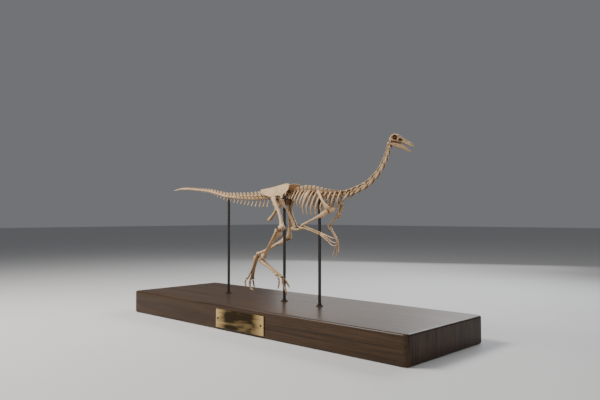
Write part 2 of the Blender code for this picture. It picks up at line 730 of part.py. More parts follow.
def make_tibia(side, sign, leg):
    shape = bmesh.new()
    start, end = shin(leg)
    add_bone(shape, start, end, (1, 0, 0.3), TIBIA_PROFILE)
    return object_from(f"tibia_{side}", shape)


def make_fibula(side, sign, leg):
    """A thin splint down the outer side of the tibia."""
    start, end = shin(leg)
    along = (end - start).normalized()
    out = Vector((0.0, sign, 0.0))
    out = (out - along * out.dot(along)).normalized()
    path = [start.lerp(end, part) + out * reach for part, reach in zip(FIBULA_AT, leg["fibula_out"])]
    return one_sweep(f"fibula_{side}", path, FIBULA_SIZES, out.cross(along), 5)


def make_metatarsus(side, sign, leg):
    """Three long foot bones, pressed together at the ankle and apart at the toes."""
    ankle = Vector(leg["ankle"])
    middle = Vector(leg["foot"][1])
    along = (middle - ankle).normalized()
    across = (Vector((0.0, 1.0, 0.0)) - along * along.y).normalized()
    start = ankle + along * leg["heel_clearance"] + along.cross(across) * leg["heel_shift"]
    shapes = []
    for spread, foot in zip(METATARSAL_SPREAD, leg["foot"]):
        from_ankle = start - across * (spread * sign)
        from_knuckle = Vector(foot) - along * 0.012
        beside = middle - along * 0.012 - across * (spread * sign * 1.1)
        path = []
        for part in METATARSAL_AT:
            straight = from_ankle.lerp(beside, part)
            path.append(straight.lerp(from_knuckle, mix(0.0, 1.0, (part - 0.55) / 0.38)))
        shape = bmesh.new()
        add_sweep(shape, path, METATARSAL_SIZES, along.cross(across), 6)
        shapes.append(shape)
    return fuse(f"metatarsus_{side}", shapes)


def add_digit(shape, points, radius, bones, claw, front, sides=5):
    """Finger or toe bones in a row, thick at their joints, ending in a claw."""
    path = [Vector(point) for point in points]
    lengths = [0.0]
    for a, b in zip(path, path[1:]):
        lengths.append(lengths[-1] + (b - a).length)

    def at(part):
        s = part * lengths[-1]
        for i in range(1, len(path)):
            if s <= lengths[i] or i == len(path) - 1:
                return path[i - 1].lerp(path[i], (s - lengths[i - 1]) / (lengths[i] - lengths[i - 1]))

    stops = []
    for i in range(bones - 1):
        base = (1.0 - claw) * i / (bones - 1)
        step = (1.0 - claw) / (bones - 1)
        stops += [(base, 1.0), (base + step * 0.5, 0.66)]
    stops += [(1.0 - claw, 0.95), (1.0 - claw * 0.5, 0.62), (1.0, 0.14)]
    places = [at(part) for part, _ in stops]
    sizes = [(radius * part * mix(1.0, 0.8, t), radius * part * mix(1.0, 0.8, t)) for t, part in stops]
    add_sweep(shape, places, sizes, front, sides)


def make_toes(side, sign, leg):
    made = []
    middle = Vector(leg["foot"][1])
    along = (middle - Vector(leg["ankle"])).normalized()
    for number, (foot, toe, radius, bones) in enumerate(zip(leg["foot"], leg["toes"], TOE_RADII, TOE_BONES)):
        base = Vector(foot)
        first = base + (Vector(toe[0]) - base).normalized() * 0.006
        shape = bmesh.new()
        add_digit(shape, [first] + list(toe), radius, bones, 0.30, (1, 0, 0.4))
        made.append(object_from(f"toe_{number + 2}_{side}", shape))
    return made


# ---------------------------------------------------------------- arms
BLADE_SIZES = ((0.020, 0.004), (0.015, 0.005), (0.019, 0.006))
CORACOID_SIZES = ((0.038, 0.009), (0.026, 0.0075), (0.009, 0.005))
HUMERUS_PROFILE = (
    (0.000, 0.011, 0.015, 0.000), (0.050, 0.014, 0.025, 0.002), (0.160, 0.012, 0.024, 0.006),
    (0.340, 0.0115, 0.015, 0.001), (0.600, 0.0110, 0.0115, 0.000), (0.880, 0.0125, 0.0125, 0.000),
    (0.960, 0.017, 0.014, 0.000), (1.000, 0.012, 0.011, 0.000),
)
SHOULDER_CLEARANCE = 0.006
ELBOW_CLEARANCE = 0.018
FOREARM_HALF_GAP = 0.0105
ULNA_SIZES = ((0.008, 0.009), (0.011, 0.012), (0.0075, 0.008), (0.007, 0.0075), (0.0085, 0.009))
ULNA_AT = (-0.15, 0.04, 0.25, 0.80, 0.95)
OLECRANON_SHIFT = (-0.014, -0.008, 0.0, 0.0, 0.0)
RADIUS_SIZES = ((0.0075, 0.008), (0.006, 0.0065), (0.006, 0.0065), (0.0075, 0.008))
RADIUS_AT = (0.09, 0.25, 0.75, 0.95)
METACARPAL_SIZES = ((0.009, 0.010), (0.0065, 0.007), (0.0065, 0.0065), (0.0075, 0.0075))
METACARPAL_AT = (0.0, 0.30, 0.75, 1.0)
WRIST_CLEARANCE = 0.012
WRIST_SPREAD = (0.010, 0.000, -0.010)
FINGER_RADIUS = 0.0072
FINGER_BONES = (2, 3, 3)


def make_scapula(side, sign, arm):
    blade = list(arm["blade"]) + list(arm["coracoid"])
    return one_sweep(f"scapula_{side}", blade, BLADE_SIZES + CORACOID_SIZES, (0, sign, 0.1), 7)


def make_humerus(side, sign, arm):
    shoulder, elbow = Vector(arm["shoulder"]), Vector(arm["elbow"])
    along = (elbow - shoulder).normalized()
    shape = bmesh.new()
    add_bone(shape, shoulder + along * SHOULDER_CLEARANCE, elbow, (0.3, 0, -1.0), HUMERUS_PROFILE)
    return object_from(f"humerus_{side}", shape)


def forearm_side(arm):
    """The direction from the ulna to the radius."""
    along = (Vector(arm["wrist"]) - Vector(arm["elbow"])).normalized()
    upper = (Vector(arm["shoulder"]) - Vector(arm["elbow"])).normalized()
    return (upper - along * upper.dot(along)).normalized()


def forearm_bone(name, arm, at, sizes, shift, more):
    elbow, wrist = Vector(arm["elbow"]), Vector(arm["wrist"])
    along = (wrist - elbow).normalized()
    start = elbow + along * ELBOW_CLEARANCE
    toward = forearm_side(arm)
    path = [start.lerp(wrist, part) + toward * (shift + extra) for part, extra in zip(at, more)]
    return one_sweep(name, path, sizes, toward, 6)


def make_hand_bones(side, sign, arm):
    """Three metacarpals that meet at the wrist."""
    wrist = Vector(arm["wrist"])
    middle = Vector(arm["knuckles"][1])
    along = (middle - wrist).normalized()
    spread_way = Vector(arm["knuckles"][0]) - Vector(arm["knuckles"][2])
    spread_way = (spread_way - along * spread_way.dot(along)).normalized()
    shapes = []
    for spread, knuckle in zip(WRIST_SPREAD, arm["knuckles"]):
        start = wrist + along * WRIST_CLEARANCE + spread_way * spread
        path = [start.lerp(Vector(knuckle), part) for part in METACARPAL_AT]
        shape = bmesh.new()
        add_sweep(shape, path, METACARPAL_SIZES, spread_way, 5)
        shapes.append(shape)
    return fuse(f"metacarpals_{side}", shapes)


def make_fingers(side, sign, arm):
    made = []
    wrist = Vector(arm["wrist"])
    for number, (knuckle, tip, bones) in enumerate(zip(arm["knuckles"], arm["tips"], FINGER_BONES)):
        base = Vector(knuckle)
        tip = Vector(tip)
        along = (tip - base).normalized()
        bend = (tip - base).length * 0.10
        toward = (wrist - base).normalized()
        curl = (toward - along * toward.dot(along)).normalized() * bend
        first = base + along * 0.009
        middle = first.lerp(tip, 0.5) - curl
        shape = bmesh.new()
        add_digit(shape, [first, middle, tip], FINGER_RADIUS, bones, 0.32, (0.2, 1.0, 0.2))
        made.append(object_from(f"finger_{number + 1}_{side}", shape))
    return made


# ---------------------------------------------------------------- skull
def head_matrix():
    turn = Matrix.Rotation(HEAD_TURN, 4, "Z") @ Matrix.Rotation(HEAD_PITCH, 4, "Y")
    return Matrix.Translation(HEAD_ORIGIN) @ turn


def side_cutter(name, spot, radius, inner, outer, stretch=1.0):
    """A cylinder across the head from y = inner to y = outer."""
    shape = cylinder(radius, outer - inner, 10)
    bmesh.ops.scale(shape, vec=(stretch, 1.0, 1.0), verts=shape.verts)
    bmesh.ops.rotate(shape, cent=(0, 0, 0), matrix=Matrix.Rotation(math.radians(90), 3, "X"), verts=shape.verts)
    bmesh.ops.translate(shape, vec=(spot[0], (inner + outer) / 2, spot[1]), verts=shape.verts)
    return object_from(name, shape)


def make_skull():
    shape = bmesh.new()
    rings = []
    for x, top, bottom, half in SKULL_PROFILE:
        centre = Vector((x, 0.0, (top + bottom) / 2))
        rings.append(ellipse(centre, Vector((0, 1, 0)), Vector((0, 0, 1)), half, (top - bottom) / 2, 10))
    add_rings(shape, rings)
    skull = object_from("skull", shape)
    for sign in SIDES.values():
        near, far = sorted((sign * SEPTUM_HALF, sign * 0.08))
        skull = boolean(skull, side_cutter("orbit", ORBIT, ORBIT_RADIUS, near, far), "DIFFERENCE")
    skull = boolean(skull, side_cutter("window", CHEEK_WINDOW, CHEEK_WINDOW_RADIUS, -0.08, 0.08, 1.4), "DIFFERENCE")
    skull = boolean(skull, side_cutter("nostril", NOSTRIL, NOSTRIL_RADIUS, -0.08, 0.08, 1.6), "DIFFERENCE")
    skull.name = "skull"
    tidy(skull)
    skull.data.transform(head_matrix())
    return skull


def make_lower_jaw():
    rows = [(x, sign * out, z, half) for sign, order in ((1, 1), (-1, -1)) for x, z, half, out in JAW_PROFILE[::order]]
    tip = len(JAW_PROFILE)
    x, z, half, _ = JAW_PROFILE[-1]
    rows.insert(tip, (x + 0.008, 0.0, z - 0.001, half * 0.8))
    path = [Vector((x, y, z)) for x, y, z, _ in rows]
    sizes = [(JAW_THICKNESS, half) for _, _, _, half in rows]
    jaw = one_sweep("lower_jaw", path, sizes, (0, 0, 1), 6)
    jaw.data.transform(head_matrix())
    return jaw


# ---------------------------------------------------------------- the whole mount
def make_stand():
    made = [make_base(), make_plaque()]
    made += [make_screw(side, sign) for side, sign in SIDES.items()]
    for name, (x, top) in RODS.items():
        made += [make_rod(name, x, top), make_flange(name, x)]
    return made


def make_backbone():
    column = Column(COLUMN)
    neck_end = column.length_at_x(NECK_END_X)
    trunk_end = column.length_at_x(TRUNK_END_X)
    sacrum_end = column.length_at_x(SACRUM_END_X)
    made = make_neck(column, SKULL_GAP, neck_end)
    made += make_rib_cage(column, neck_end, trunk_end)
    made.append(make_sacrum(column, trunk_end, sacrum_end))
    made += make_tail(column, sacrum_end, column.lengths[-1])
    return made


def make_limbs(side, sign):
    leg, arm = LEGS[side], ARMS[side]
    made = [make_ilium(side, sign), make_pubis(side, sign), make_ischium(side, sign)]
    made += [make_femur(side, sign, leg), make_tibia(side, sign, leg), make_fibula(side, sign, leg)]
    made += [make_metatarsus(side, sign, leg)] + make_toes(side, sign, leg)
    made += [make_scapula(side, sign, arm), make_humerus(side, sign, arm)]
    made.append(forearm_bone(f"ulna_{side}", arm, ULNA_AT, ULNA_SIZES, -FOREARM_HALF_GAP, OLECRANON_SHIFT))
    made.append(forearm_bone(f"radius_{side}", arm, RADIUS_AT, RADIUS_SIZES, FOREARM_HALF_GAP, (0.0,) * 4))
    made += [make_hand_bones(side, sign, arm)] + make_fingers(side, sign, arm)
    return made


def finish_for(name, finishes):
    if name == "stand_base":
        return finishes["walnut"]
    if name.startswith(("stand_plaque", "stand_screw")):
        return finishes["brass"]
    if name.startswith("stand_"):
        return finishes["black_steel"]
    return finishes["bone"]


def main():
    clear_scene()
    group = collection("mounted_dinosaur_skeleton")
    finishes = {
        "bone": material("bone", BONE, 0.55),
        "walnut": material("walnut", WALNUT, 0.40),
        "brass": material("brass", BRASS, 0.35, 1.0),
        "black_steel": material("black_steel", BLACK_STEEL, 0.45, 0.6),
    }
    pieces = make_stand() + [make_skull(), make_lower_jaw()] + make_backbone()
    for side, sign in SIDES.items():
        pieces += make_limbs(side, sign)
    for piece in pieces:
        if piece.name not in group.objects:
            group.objects.link(piece)
        piece.data.materials.clear()
        piece.data.materials.append(finish_for(piece.name, finishes))


main()
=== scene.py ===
"""Mounted skeleton of a running ornithomimid dinosaur on its wooden base.

Builds the detailed bones, the stand, their finishes and the stage around the frame. Metres, +Z up,
+X towards the head, +Y to the animal's left.
"""

import math

import bmesh
import bpy
from mathutils import Matrix, Vector


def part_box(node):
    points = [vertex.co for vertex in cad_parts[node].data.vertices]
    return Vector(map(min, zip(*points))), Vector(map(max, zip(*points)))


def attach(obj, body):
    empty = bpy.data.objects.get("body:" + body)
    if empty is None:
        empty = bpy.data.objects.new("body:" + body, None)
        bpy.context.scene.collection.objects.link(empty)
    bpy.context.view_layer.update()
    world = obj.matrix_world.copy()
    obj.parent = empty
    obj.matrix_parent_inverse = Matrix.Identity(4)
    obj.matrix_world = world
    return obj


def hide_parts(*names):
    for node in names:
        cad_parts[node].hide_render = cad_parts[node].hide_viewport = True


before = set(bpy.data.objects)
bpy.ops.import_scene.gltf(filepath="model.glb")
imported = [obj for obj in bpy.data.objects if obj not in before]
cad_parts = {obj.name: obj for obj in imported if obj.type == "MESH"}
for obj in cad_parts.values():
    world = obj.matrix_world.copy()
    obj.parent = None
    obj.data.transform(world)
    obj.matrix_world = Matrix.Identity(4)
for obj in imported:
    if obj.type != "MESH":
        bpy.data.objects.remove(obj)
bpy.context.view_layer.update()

bl_info = {
    "name": "Mounted ornithomimid skeleton",
    "version": (1, 0, 0),
    "blender": (4, 5, 0),
    "location": "3D View > Sidebar > Skeleton",
    "description": "Builds a life-size mounted skeleton of a running ornithomimid on its base",
    "category": "Add Mesh",
}

BODY = "root"
SIDES = {"left": 1.0, "right": -1.0}
UP = Vector((0.0, 0.0, 1.0))
ASIDE = Vector((0.0, 1.0, 0.0))
AHEAD = Vector((1.0, 0.0, 0.0))
NOWHERE = 9.0  # further than any bone reaches, in its own radii
JOINT_GAP = 0.0008  # at both ends of a run of vertebrae

# ---------------------------------------------------------------- backbone
# Centres of the vertebral bodies, (x, z), from the skull to the tip of the tail.
COLUMN = (
    (1.415, 1.898), (1.404, 1.851), (1.376, 1.772), (1.325, 1.68), (1.267, 1.612), (1.187, 1.545),
    (1.11, 1.501), (0.954, 1.448), (0.843, 1.424), (0.72, 1.413), (0.55, 1.419), (0.35, 1.435),
    (0.12, 1.442), (-0.12, 1.434), (-0.3, 1.42), (-0.453, 1.411), (-0.747, 1.424), (-0.991, 1.446),
    (-1.206, 1.49), (-1.369, 1.522), (-1.709, 1.556), (-1.93, 1.566), (-2.115, 1.55),
)
SKULL_GAP = 0.008
NECK_END_X = 0.862
TRUNK_END_X = 0.128
SACRUM_END_X = -0.235
NECK_VERTEBRAE = 10
TRUNK_VERTEBRAE = 13
SACRAL_VERTEBRAE = 6
TAIL_VERTEBRAE = 31
NECK_SPLIT = (3, 7)
TAIL_SPLIT = (10, 20)
TAIL_SHORTENING = 0.22
TAIL_TIP = 0.0005
TAIL_RADII = ((0.0, 0.0215), (0.3, 0.019), (0.6, 0.0165), (0.83, 0.0145), (0.93, 0.009), (1.0, 0.003))

# ---------------------------------------------------------------- limb joints (x, y, z)
HIP = (-0.034, 0.09, 1.397)
TROCHANTER_OUT = 0.044
LEGS = {
    "left": {
        "knee_faces": (1.0, -0.9, 0.0),
        "knee_reach": 0.02,
        "fibula_out": (0.044, 0.036, 0.027, 0.026),
        "heel_shift": -0.004,
        "heel": None,
        "shin_clearance": 0.01,
        "heel_clearance": 0.017,
        "shin_shift": (-0.01, 0.0, -0.006),
        "knee": (-0.07, 0.15, 0.967),
        "ankle": (-0.5, 0.054, 0.744),
        "foot": ((-0.7, 0.06, 0.446), (-0.656, 0.09, 0.438), (-0.651, 0.125, 0.444)),
        "toes": (
            ((-0.716, 0.055, 0.428), (-0.708, 0.05, 0.402), (-0.688, 0.05, 0.364)),
            ((-0.672, 0.09, 0.411), (-0.665, 0.09, 0.37), (-0.647, 0.09, 0.338), (-0.604, 0.09, 0.32)),
            ((-0.652, 0.13, 0.423), (-0.65, 0.136, 0.392), (-0.64, 0.139, 0.35)),
        ),
    },
    "right": {
        "knee_faces": (1.0, 0.3, 0.0),
        "knee_reach": 0.0,
        "fibula_out": (0.058, 0.043, 0.028, 0.026),
        "heel_shift": -0.029,
        "heel": (-0.03, 0.0, -0.017),
        "shin_clearance": 0.02,
        "heel_clearance": 0.006,
        "shin_shift": (-0.022, 0.0, 0.004),
        "knee": (0.222, -0.249, 1.066),
        "ankle": (-0.143, -0.195, 0.739),
        "foot": ((0.124, -0.13, 0.54), (0.133, -0.155, 0.545), (0.081, -0.185, 0.562)),
        "toes": (
            ((0.13, -0.115, 0.514), (0.155, -0.105, 0.482), (0.188, -0.1, 0.434)),
            ((0.135, -0.15, 0.514), (0.13, -0.145, 0.472), (0.152, -0.14, 0.436), (0.19, -0.14, 0.363)),
            ((0.108, -0.19, 0.533), (0.116, -0.19, 0.486), (0.105, -0.19, 0.451), (0.097, -0.19, 0.421)),
        ),
    },
}
ARMS = {
    "left": {
        "blade": ((0.667, 0.108, 1.462), (0.664, 0.134, 1.372), (0.696, 0.138, 1.321)),
        "coracoid": ((0.716, 0.129, 1.289), (0.736, 0.114, 1.296), (0.752, 0.102, 1.31)),
        "shoulder": (0.68, 0.142, 1.229),
        "ball": (0.02, 0.031, 0.027),
        "elbow": (0.45, 0.245, 1.101),
        "wrist": (0.63, 0.17, 0.95),
        "knuckles": ((0.651, 0.165, 0.889), (0.624, 0.17, 0.882), (0.596, 0.18, 0.885)),
        "tips": ((0.648, 0.155, 0.814), (0.602, 0.165, 0.769), (0.547, 0.175, 0.76)),
    },
    "right": {
        "blade": ((0.597, -0.112, 1.467), (0.675, -0.136, 1.374), (0.721, -0.14, 1.321)),
        "coracoid": ((0.762, -0.129, 1.27), (0.794, -0.113, 1.268), (0.817, -0.099, 1.277)),
        "shoulder": (0.76, -0.152, 1.245),
        "ball": (0.015, 0.027, 0.02),
        "elbow": (0.531, -0.285, 1.106),
        "wrist": (0.731, -0.22, 1.029),
        "knuckles": ((0.845, -0.235, 1.006), (0.856, -0.24, 0.981), (0.856, -0.245, 0.958)),
        "tips": ((0.944, -0.25, 0.988), (0.961, -0.255, 0.945), (0.959, -0.26, 0.913)),
    },
}

# ---------------------------------------------------------------- head
HEAD_PITCH = math.radians(16.5)
HEAD_TURN = math.radians(28.0)
HEAD_ORIGIN = (1.416, 0.0, 1.906)


# ---------------------------------------------------------------- settings
def colour_setting(name, description, default):
    return bpy.props.FloatVectorProperty(
        name=name, description=description, subtype="COLOR", size=3, min=0.0, max=1.0, default=default)


def length_setting(name, description, default, least=0.0):
    return bpy.props.FloatProperty(
        name=name, description=description, subtype="DISTANCE", unit="LENGTH", min=least, default=default)


def power_setting(name, description, default):
    return bpy.props.FloatProperty(
        name=name, description=description, subtype="POWER", min=0.0, default=default)


class SkeletonSettings(bpy.types.PropertyGroup):
    """Finish and fineness of the bones."""

    # Pale is the bone's own colour, left where no painted shade falls. Brown is the colour of the painted
    # shade in hollows and between close bones. Stain depth is how far that painted shade reaches.
    pale: colour_setting("Pale bone", "Colour of the worn, raised parts of the bones", (0.58, 0.42, 0.25))
    tan: colour_setting("Tan bone", "Colour of the stained patches of the bones", (0.36, 0.195, 0.078))
    brown: colour_setting("Brown bone", "Colour in the hollows between the bones", (0.105, 0.04, 0.011))
    painted_shade_reach: length_setting("Stain depth", "How far from a hollow its brown stain reaches", 0.06, 0.001)
    grain: length_setting("Bone grain", "Height of the fine pits on the bones", 0.0009)
    coarse: length_setting("Limb voxel", "Cell size that the limb bones are fused with", 0.0026, 0.001)
    fine: length_setting("Head voxel", "Cell size that the skull and the jaw are fused with", 0.0011, 0.0005)


class StandSettings(bpy.types.PropertyGroup):
    """Base, plaque and rods."""

    corner: length_setting("Corner radius", "Radius of the base's upright corners", 0.045)
    ease: length_setting("Eased edge", "Radius of the base's top and bottom edges", 0.02)
    rim: length_setting("Plaque bevel", "Width of the bevel round the plaque's face", 0.007)
    wood_dark: colour_setting("Dark grain", "Colour of the walnut's dark lines", (0.0165, 0.0086, 0.0042))
    wood_light: colour_setting("Light grain", "Colour between the walnut's lines", (0.076, 0.0425, 0.0215))
    brass: colour_setting("Brass", "Colour of the plaque's bare brass", (0.72, 0.5, 0.22))
    steel: colour_setting("Rod paint", "Colour of the rods' black paint", (0.018, 0.0145, 0.012))


class StageSettings(bpy.types.PropertyGroup):
    """Floor, lights and camera."""

    floor: colour_setting("Floor", "Colour of the floor", (0.6, 0.6, 0.6))
    key: power_setting("Key light", "Power of the large soft light", 900.0)
    fill: power_setting("Fill light", "Power of the light beside the camera", 125.0)
    rim: power_setting("Rim light", "Power of the light behind the skeleton", 300.0)
    sheen: power_setting("Sheen light", "Power of the low light that the base's top reflects", 90.0)
    sky: bpy.props.FloatProperty(
        name="Sky", description="Strength of the even light all round", min=0.0, default=0.18)
    lens: bpy.props.FloatProperty(
        name="Lens", description="Focal length in mm on a 36 mm wide sensor", min=1.0, default=35.223)


def skeleton_settings():
    return bpy.context.scene.ornithomimid_skeleton


def stand_settings():
    return bpy.context.scene.ornithomimid_stand


def stage_settings():
    return bpy.context.scene.ornithomimid_stage


# ---------------------------------------------------------------- finishes
PATINA = (0.04, 0.027, 0.012)
DULL_BRASS = (0.2, 0.13, 0.06)
SCREW_TONES = ((0.012, 0.009, 0.005), (0.06, 0.042, 0.02))
# End-face colours: partly real end grain, partly painted shade of the unlit end.
END_GRAIN_AND_SHADE = ((0.01, 0.0046, 0.0018), (0.06, 0.029, 0.0115))
WORN_PAINT = (0.034, 0.026, 0.019)


def new_material(name):
    """An empty node material, its tree and its Principled shader."""
    made = bpy.data.materials.new(name)
    made.use_nodes = True
    return made, made.node_tree, made.node_tree.nodes["Principled BSDF"]


def feed(tree, target, **inputs):
    """Sets a node's inputs, each to a value or another node's output; i0 and i1 are inputs by number."""
    for name, value in inputs.items():
        numbered = name[0] == "i" and name[1:].isdigit()
        socket = target.inputs[int(name[1:]) if numbered else name.replace("_", " ")]
        if isinstance(value, bpy.types.NodeSocket):
            tree.links.new(value, socket)
        else:
            socket.default_value = value
    return target


def node(tree, kind, settings=(), **inputs):
    """A node with its settings and inputs."""
    made = tree.nodes.new(kind)
    for name, value in settings:
        setattr(made, name, value)
    return feed(tree, made, **inputs)


def calculated(tree, operation, *values):
    made = node(tree, "ShaderNodeMath", (("operation", operation),),
                **{f"i{i}": value for i, value in enumerate(values)})
    return made.outputs[0]


def parts_of(tree, vector):
    """The X, Y and Z outputs of a vector."""
    return node(tree, "ShaderNodeSeparateXYZ", Vector=vector).outputs


def object_place(tree):
    return node(tree, "ShaderNodeTexCoord").outputs["Object"]


def opaque(colour):
    """Four channels from a grey or three channels."""
    return (colour,) * 3 + (1.0,) if isinstance(colour, float) else tuple(colour) + (1.0,)


def between(a, b, part):
    return [(1.0 - part) * x + part * y for x, y in zip(a, b)]


def ramp(tree, fac, stops):
    """Colours or greys along a factor; stops are (place, colour)."""
    made = node(tree, "ShaderNodeValToRGB", Fac=fac)
    elements = made.color_ramp.elements
    while len(elements) < len(stops):
        elements.new(0.5)
    for element, (place, colour) in zip(elements, stops):
        element.position = place
        element.color = opaque(colour)
    return made.outputs["Color"]


def noise(tree, where, scale, detail=4.0, rough=0.55, warp=0.0):
    return node(tree, "ShaderNodeTexNoise", Vector=where, Scale=scale, Detail=detail, Roughness=rough,
                Distortion=warp).outputs["Fac"]


def grain(tree, stretch, detail=4.0, rough=0.55, warp=0.0, turn=(0.0, 0.0, 0.0)):
    """Noise on stretched object coordinates."""
    where = node(tree, "ShaderNodeMapping", Vector=object_place(tree), Scale=stretch, Rotation=turn)
    return noise(tree, where.outputs["Vector"], 1.0, detail, rough, warp)


def blend(tree, fac, a, b, kind="MIX"):
    """Two colours or outputs mixed by a number or an output."""
    a, b = (value if isinstance(value, bpy.types.NodeSocket) else opaque(value) for value in (a, b))
    settings = (("data_type", "RGBA"), ("blend_type", kind))
    return node(tree, "ShaderNodeMix", settings, i0=fac, i6=a, i7=b).outputs[2]  # 6, 7 and 2 are colours


def bump(tree, height, strength, distance):
    return node(tree, "ShaderNodeBump", Strength=strength, Distance=distance, Height=height).outputs["Normal"]


def bone_finish():
    """Cream fossil bone: tan patches, painted shade in brown in the hollows and between close bones, fine
    pits.
    """
    made, tree, shader = new_material("fossil_bone")
    look = skeleton_settings()
    where = object_place(tree)
    patches = ramp(tree, noise(tree, where, 7.0, 6.0, 0.66, 0.5), ((0.38, 0.0), (0.64, 1.0)))
    colour = blend(tree, patches, look.pale, between(look.pale, look.tan, 0.55))
    mottle = ramp(tree, noise(tree, where, 48.0, 5.0, 0.72), ((0.46, 0.0), (0.74, 1.0)))
    colour = blend(tree, mottle, colour, blend(tree, 0.6, colour, look.tan))

    # Painted shade: ambient occlusion read as a colour mask, darker where other surfaces are close.
    def painted_shade(reach, stops):
        shade = node(tree, "ShaderNodeAmbientOcclusion", (("samples", 8),), Distance=reach).outputs["AO"]
        return ramp(tree, shade, stops)

    # Broad painted shade towards tan-brown deep inside the body and between close bones.
    deep = painted_shade(look.painted_shade_reach * 4.5, ((0.3, 0.95), (0.9, 0.0)))
    colour = blend(tree, deep, colour, between(look.tan, look.brown, 0.5))
    # Near painted shade in brown and tan in hollows and creases.
    hollow = painted_shade(look.painted_shade_reach, ((0.4, 1.0), (0.72, 0.6), (0.97, 0.0)))
    colour = blend(tree, hollow, colour, blend(tree, mottle, look.brown, look.tan))
    rough = ramp(tree, noise(tree, where, 30.0), ((0.3, 0.44), (0.7, 0.62)))
    pits = noise(tree, where, 240.0, 4.0, 0.65)
    swell = noise(tree, where, 55.0, 4.0, 0.6)
    feed(tree, shader, Base_Color=colour, Roughness=rough, Specular_IOR_Level=0.4,
         Normal=bump(tree, blend(tree, 0.5, pits, swell), 0.8, look.grain * 2.6))
    return made


def walnut_finish():
    """Satin dark walnut with its grain along the base, and dark streaks on the end faces that are partly real
    end grain and partly painted shade of the unlit end.
    """
    made, tree, shader = new_material("walnut")
    look = stand_settings()
    figure = grain(tree, (0.5, 6.0, 16.0), 5.0, 0.6, 1.1)
    lines = grain(tree, (1.1, 70.0, 110.0), 5.0, 0.68, 0.35)
    pores = grain(tree, (7.0, 420.0, 420.0), 2.0, 0.5)
    middle = between(look.wood_dark, look.wood_light, 0.5)
    tone = ramp(tree, blend(tree, 0.58, figure, lines),
                ((0.36, look.wood_dark), (0.47, middle), (0.64, look.wood_light)))
    dark = ramp(tree, pores, ((0.32, 0.4), (0.48, 1.0)))
    colour = blend(tree, 0.6, tone, blend(tree, 1.0, tone, dark, "MULTIPLY"))
    # The end faces take dark end-grain streaks, darkened as painted shade as well as for real end grain.
    facing = parts_of(tree, node(tree, "ShaderNodeNewGeometry").outputs["Normal"])["X"]
    end = ramp(tree, calculated(tree, "ABSOLUTE", facing), ((0.55, 0.0), (0.9, 1.0)))
    streaks = ramp(tree, grain(tree, (1.0, 34.0, 2.6), 5.0, 0.6, 0.3),
                   ((0.36, END_GRAIN_AND_SHADE[0]), (0.64, END_GRAIN_AND_SHADE[1])))
    feed(tree, shader, Base_Color=blend(tree, end, colour, streaks), Specular_IOR_Level=0.24,
         Roughness=ramp(tree, lines, ((0.3, 0.3), (0.7, 0.42))), Normal=bump(tree, pores, 0.25, 0.0006))
    return made


def brass_finish():
    """Aged brass: a dark patina smeared along the middle, rubbed bright towards the ends."""
    made, tree, shader = new_material("aged_brass")
    low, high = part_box("stand_plaque")
    off = calculated(tree, "ABSOLUTE", parts_of(tree, object_place(tree))["X"])
    ends = ramp(tree, calculated(tree, "DIVIDE", off, (high.x - low.x) / 2), ((0.5, 0.0), (1.0, 1.0)))
    smears = grain(tree, (2.6, 2.6, 17.0), 5.0, 0.6, 0.9, (0.0, 0.1, 0.0))
    fine = grain(tree, (9.0, 9.0, 110.0), 4.0, 0.6)
    mixed = blend(tree, 0.36, blend(tree, 0.2, smears, fine), ends)
    bare = ramp(tree, mixed, ((0.3, 0.0), (0.39, 0.26), (0.62, 0.9)))
    scratches = grain(tree, (14.0, 14.0, 420.0), 2.0)
    feed(tree, shader, Base_Color=blend(tree, bare, PATINA, stand_settings().brass), Metallic=1.0,
         Roughness=ramp(tree, bare, ((0.0, 0.42), (1.0, 0.24))), Normal=bump(tree, scratches, 0.2, 0.0004))
    return made


def screw_finish():
    """Dark aged brass of the screws."""
    made, tree, shader = new_material("dark_screw")
    tones = noise(tree, object_place(tree), 160.0, 3.0)
    colour = ramp(tree, tones, ((0.35, SCREW_TONES[0]), (0.75, SCREW_TONES[1])))
    feed(tree, shader, Base_Color=colour, Roughness=0.45, Metallic=1.0)
    return made


def bright_brass_finish():
    """Rubbed brass of the plaque's rim."""
    made, tree, shader = new_material("rubbed_brass")
    dull = grain(tree, (12.0, 12.0, 12.0), 6.0, 0.6)
    colour = blend(tree, ramp(tree, dull, ((0.4, 0.0), (0.62, 0.7))), stand_settings().brass, DULL_BRASS)
    feed(tree, shader, Base_Color=colour, Metallic=1.0,
         Roughness=ramp(tree, dull, ((0.35, 0.22), (0.65, 0.42))))
    return made


def steel_finish():
    """Satin black paint on the rods."""
    made, tree, shader = new_material("black_rod")
    specks = noise(tree, object_place(tree), 60.0, 3.0)
    colour = blend(tree, ramp(tree, specks, ((0.45, 0.0), (0.75, 1.0))), stand_settings().steel, WORN_PAINT)
    feed(tree, shader, Base_Color=colour, Roughness=ramp(tree, specks, ((0.3, 0.3), (0.7, 0.44))),
         Normal=bump(tree, specks, 0.12, 0.0003))
    return made


FINISHES = {  # what makes each finish, and its slot
    "bone": (bone_finish, "bone"), "walnut": (walnut_finish, "base"), "brass": (brass_finish, "plaque"),
    "bright_brass": (bright_brass_finish, "plaque"), "screw": (screw_finish, "plaque"),
    "steel": (steel_finish, "rod"),
}
finished = {}


def finish(name):
    if name not in finished:
        finished[name] = FINISHES[name][0]()
    return finished[name]


# ---------------------------------------------------------------- shapes
def linked(name, data):
    made = bpy.data.objects.new(name, data)
    bpy.context.scene.collection.objects.link(made)
    return made


def mesh_of(name, shape):
    mesh = bpy.data.meshes.new(name)
    shape.to_mesh(mesh)
    shape.free()
    return mesh


def object_of(name, shape):
    """A linked object from a bmesh, its faces turned outwards."""
    bmesh.ops.recalc_face_normals(shape, faces=shape.faces)
    return linked(name, mesh_of(name, shape))


def drop(*objects):
    for obj in objects:
        bpy.data.objects.remove(obj)


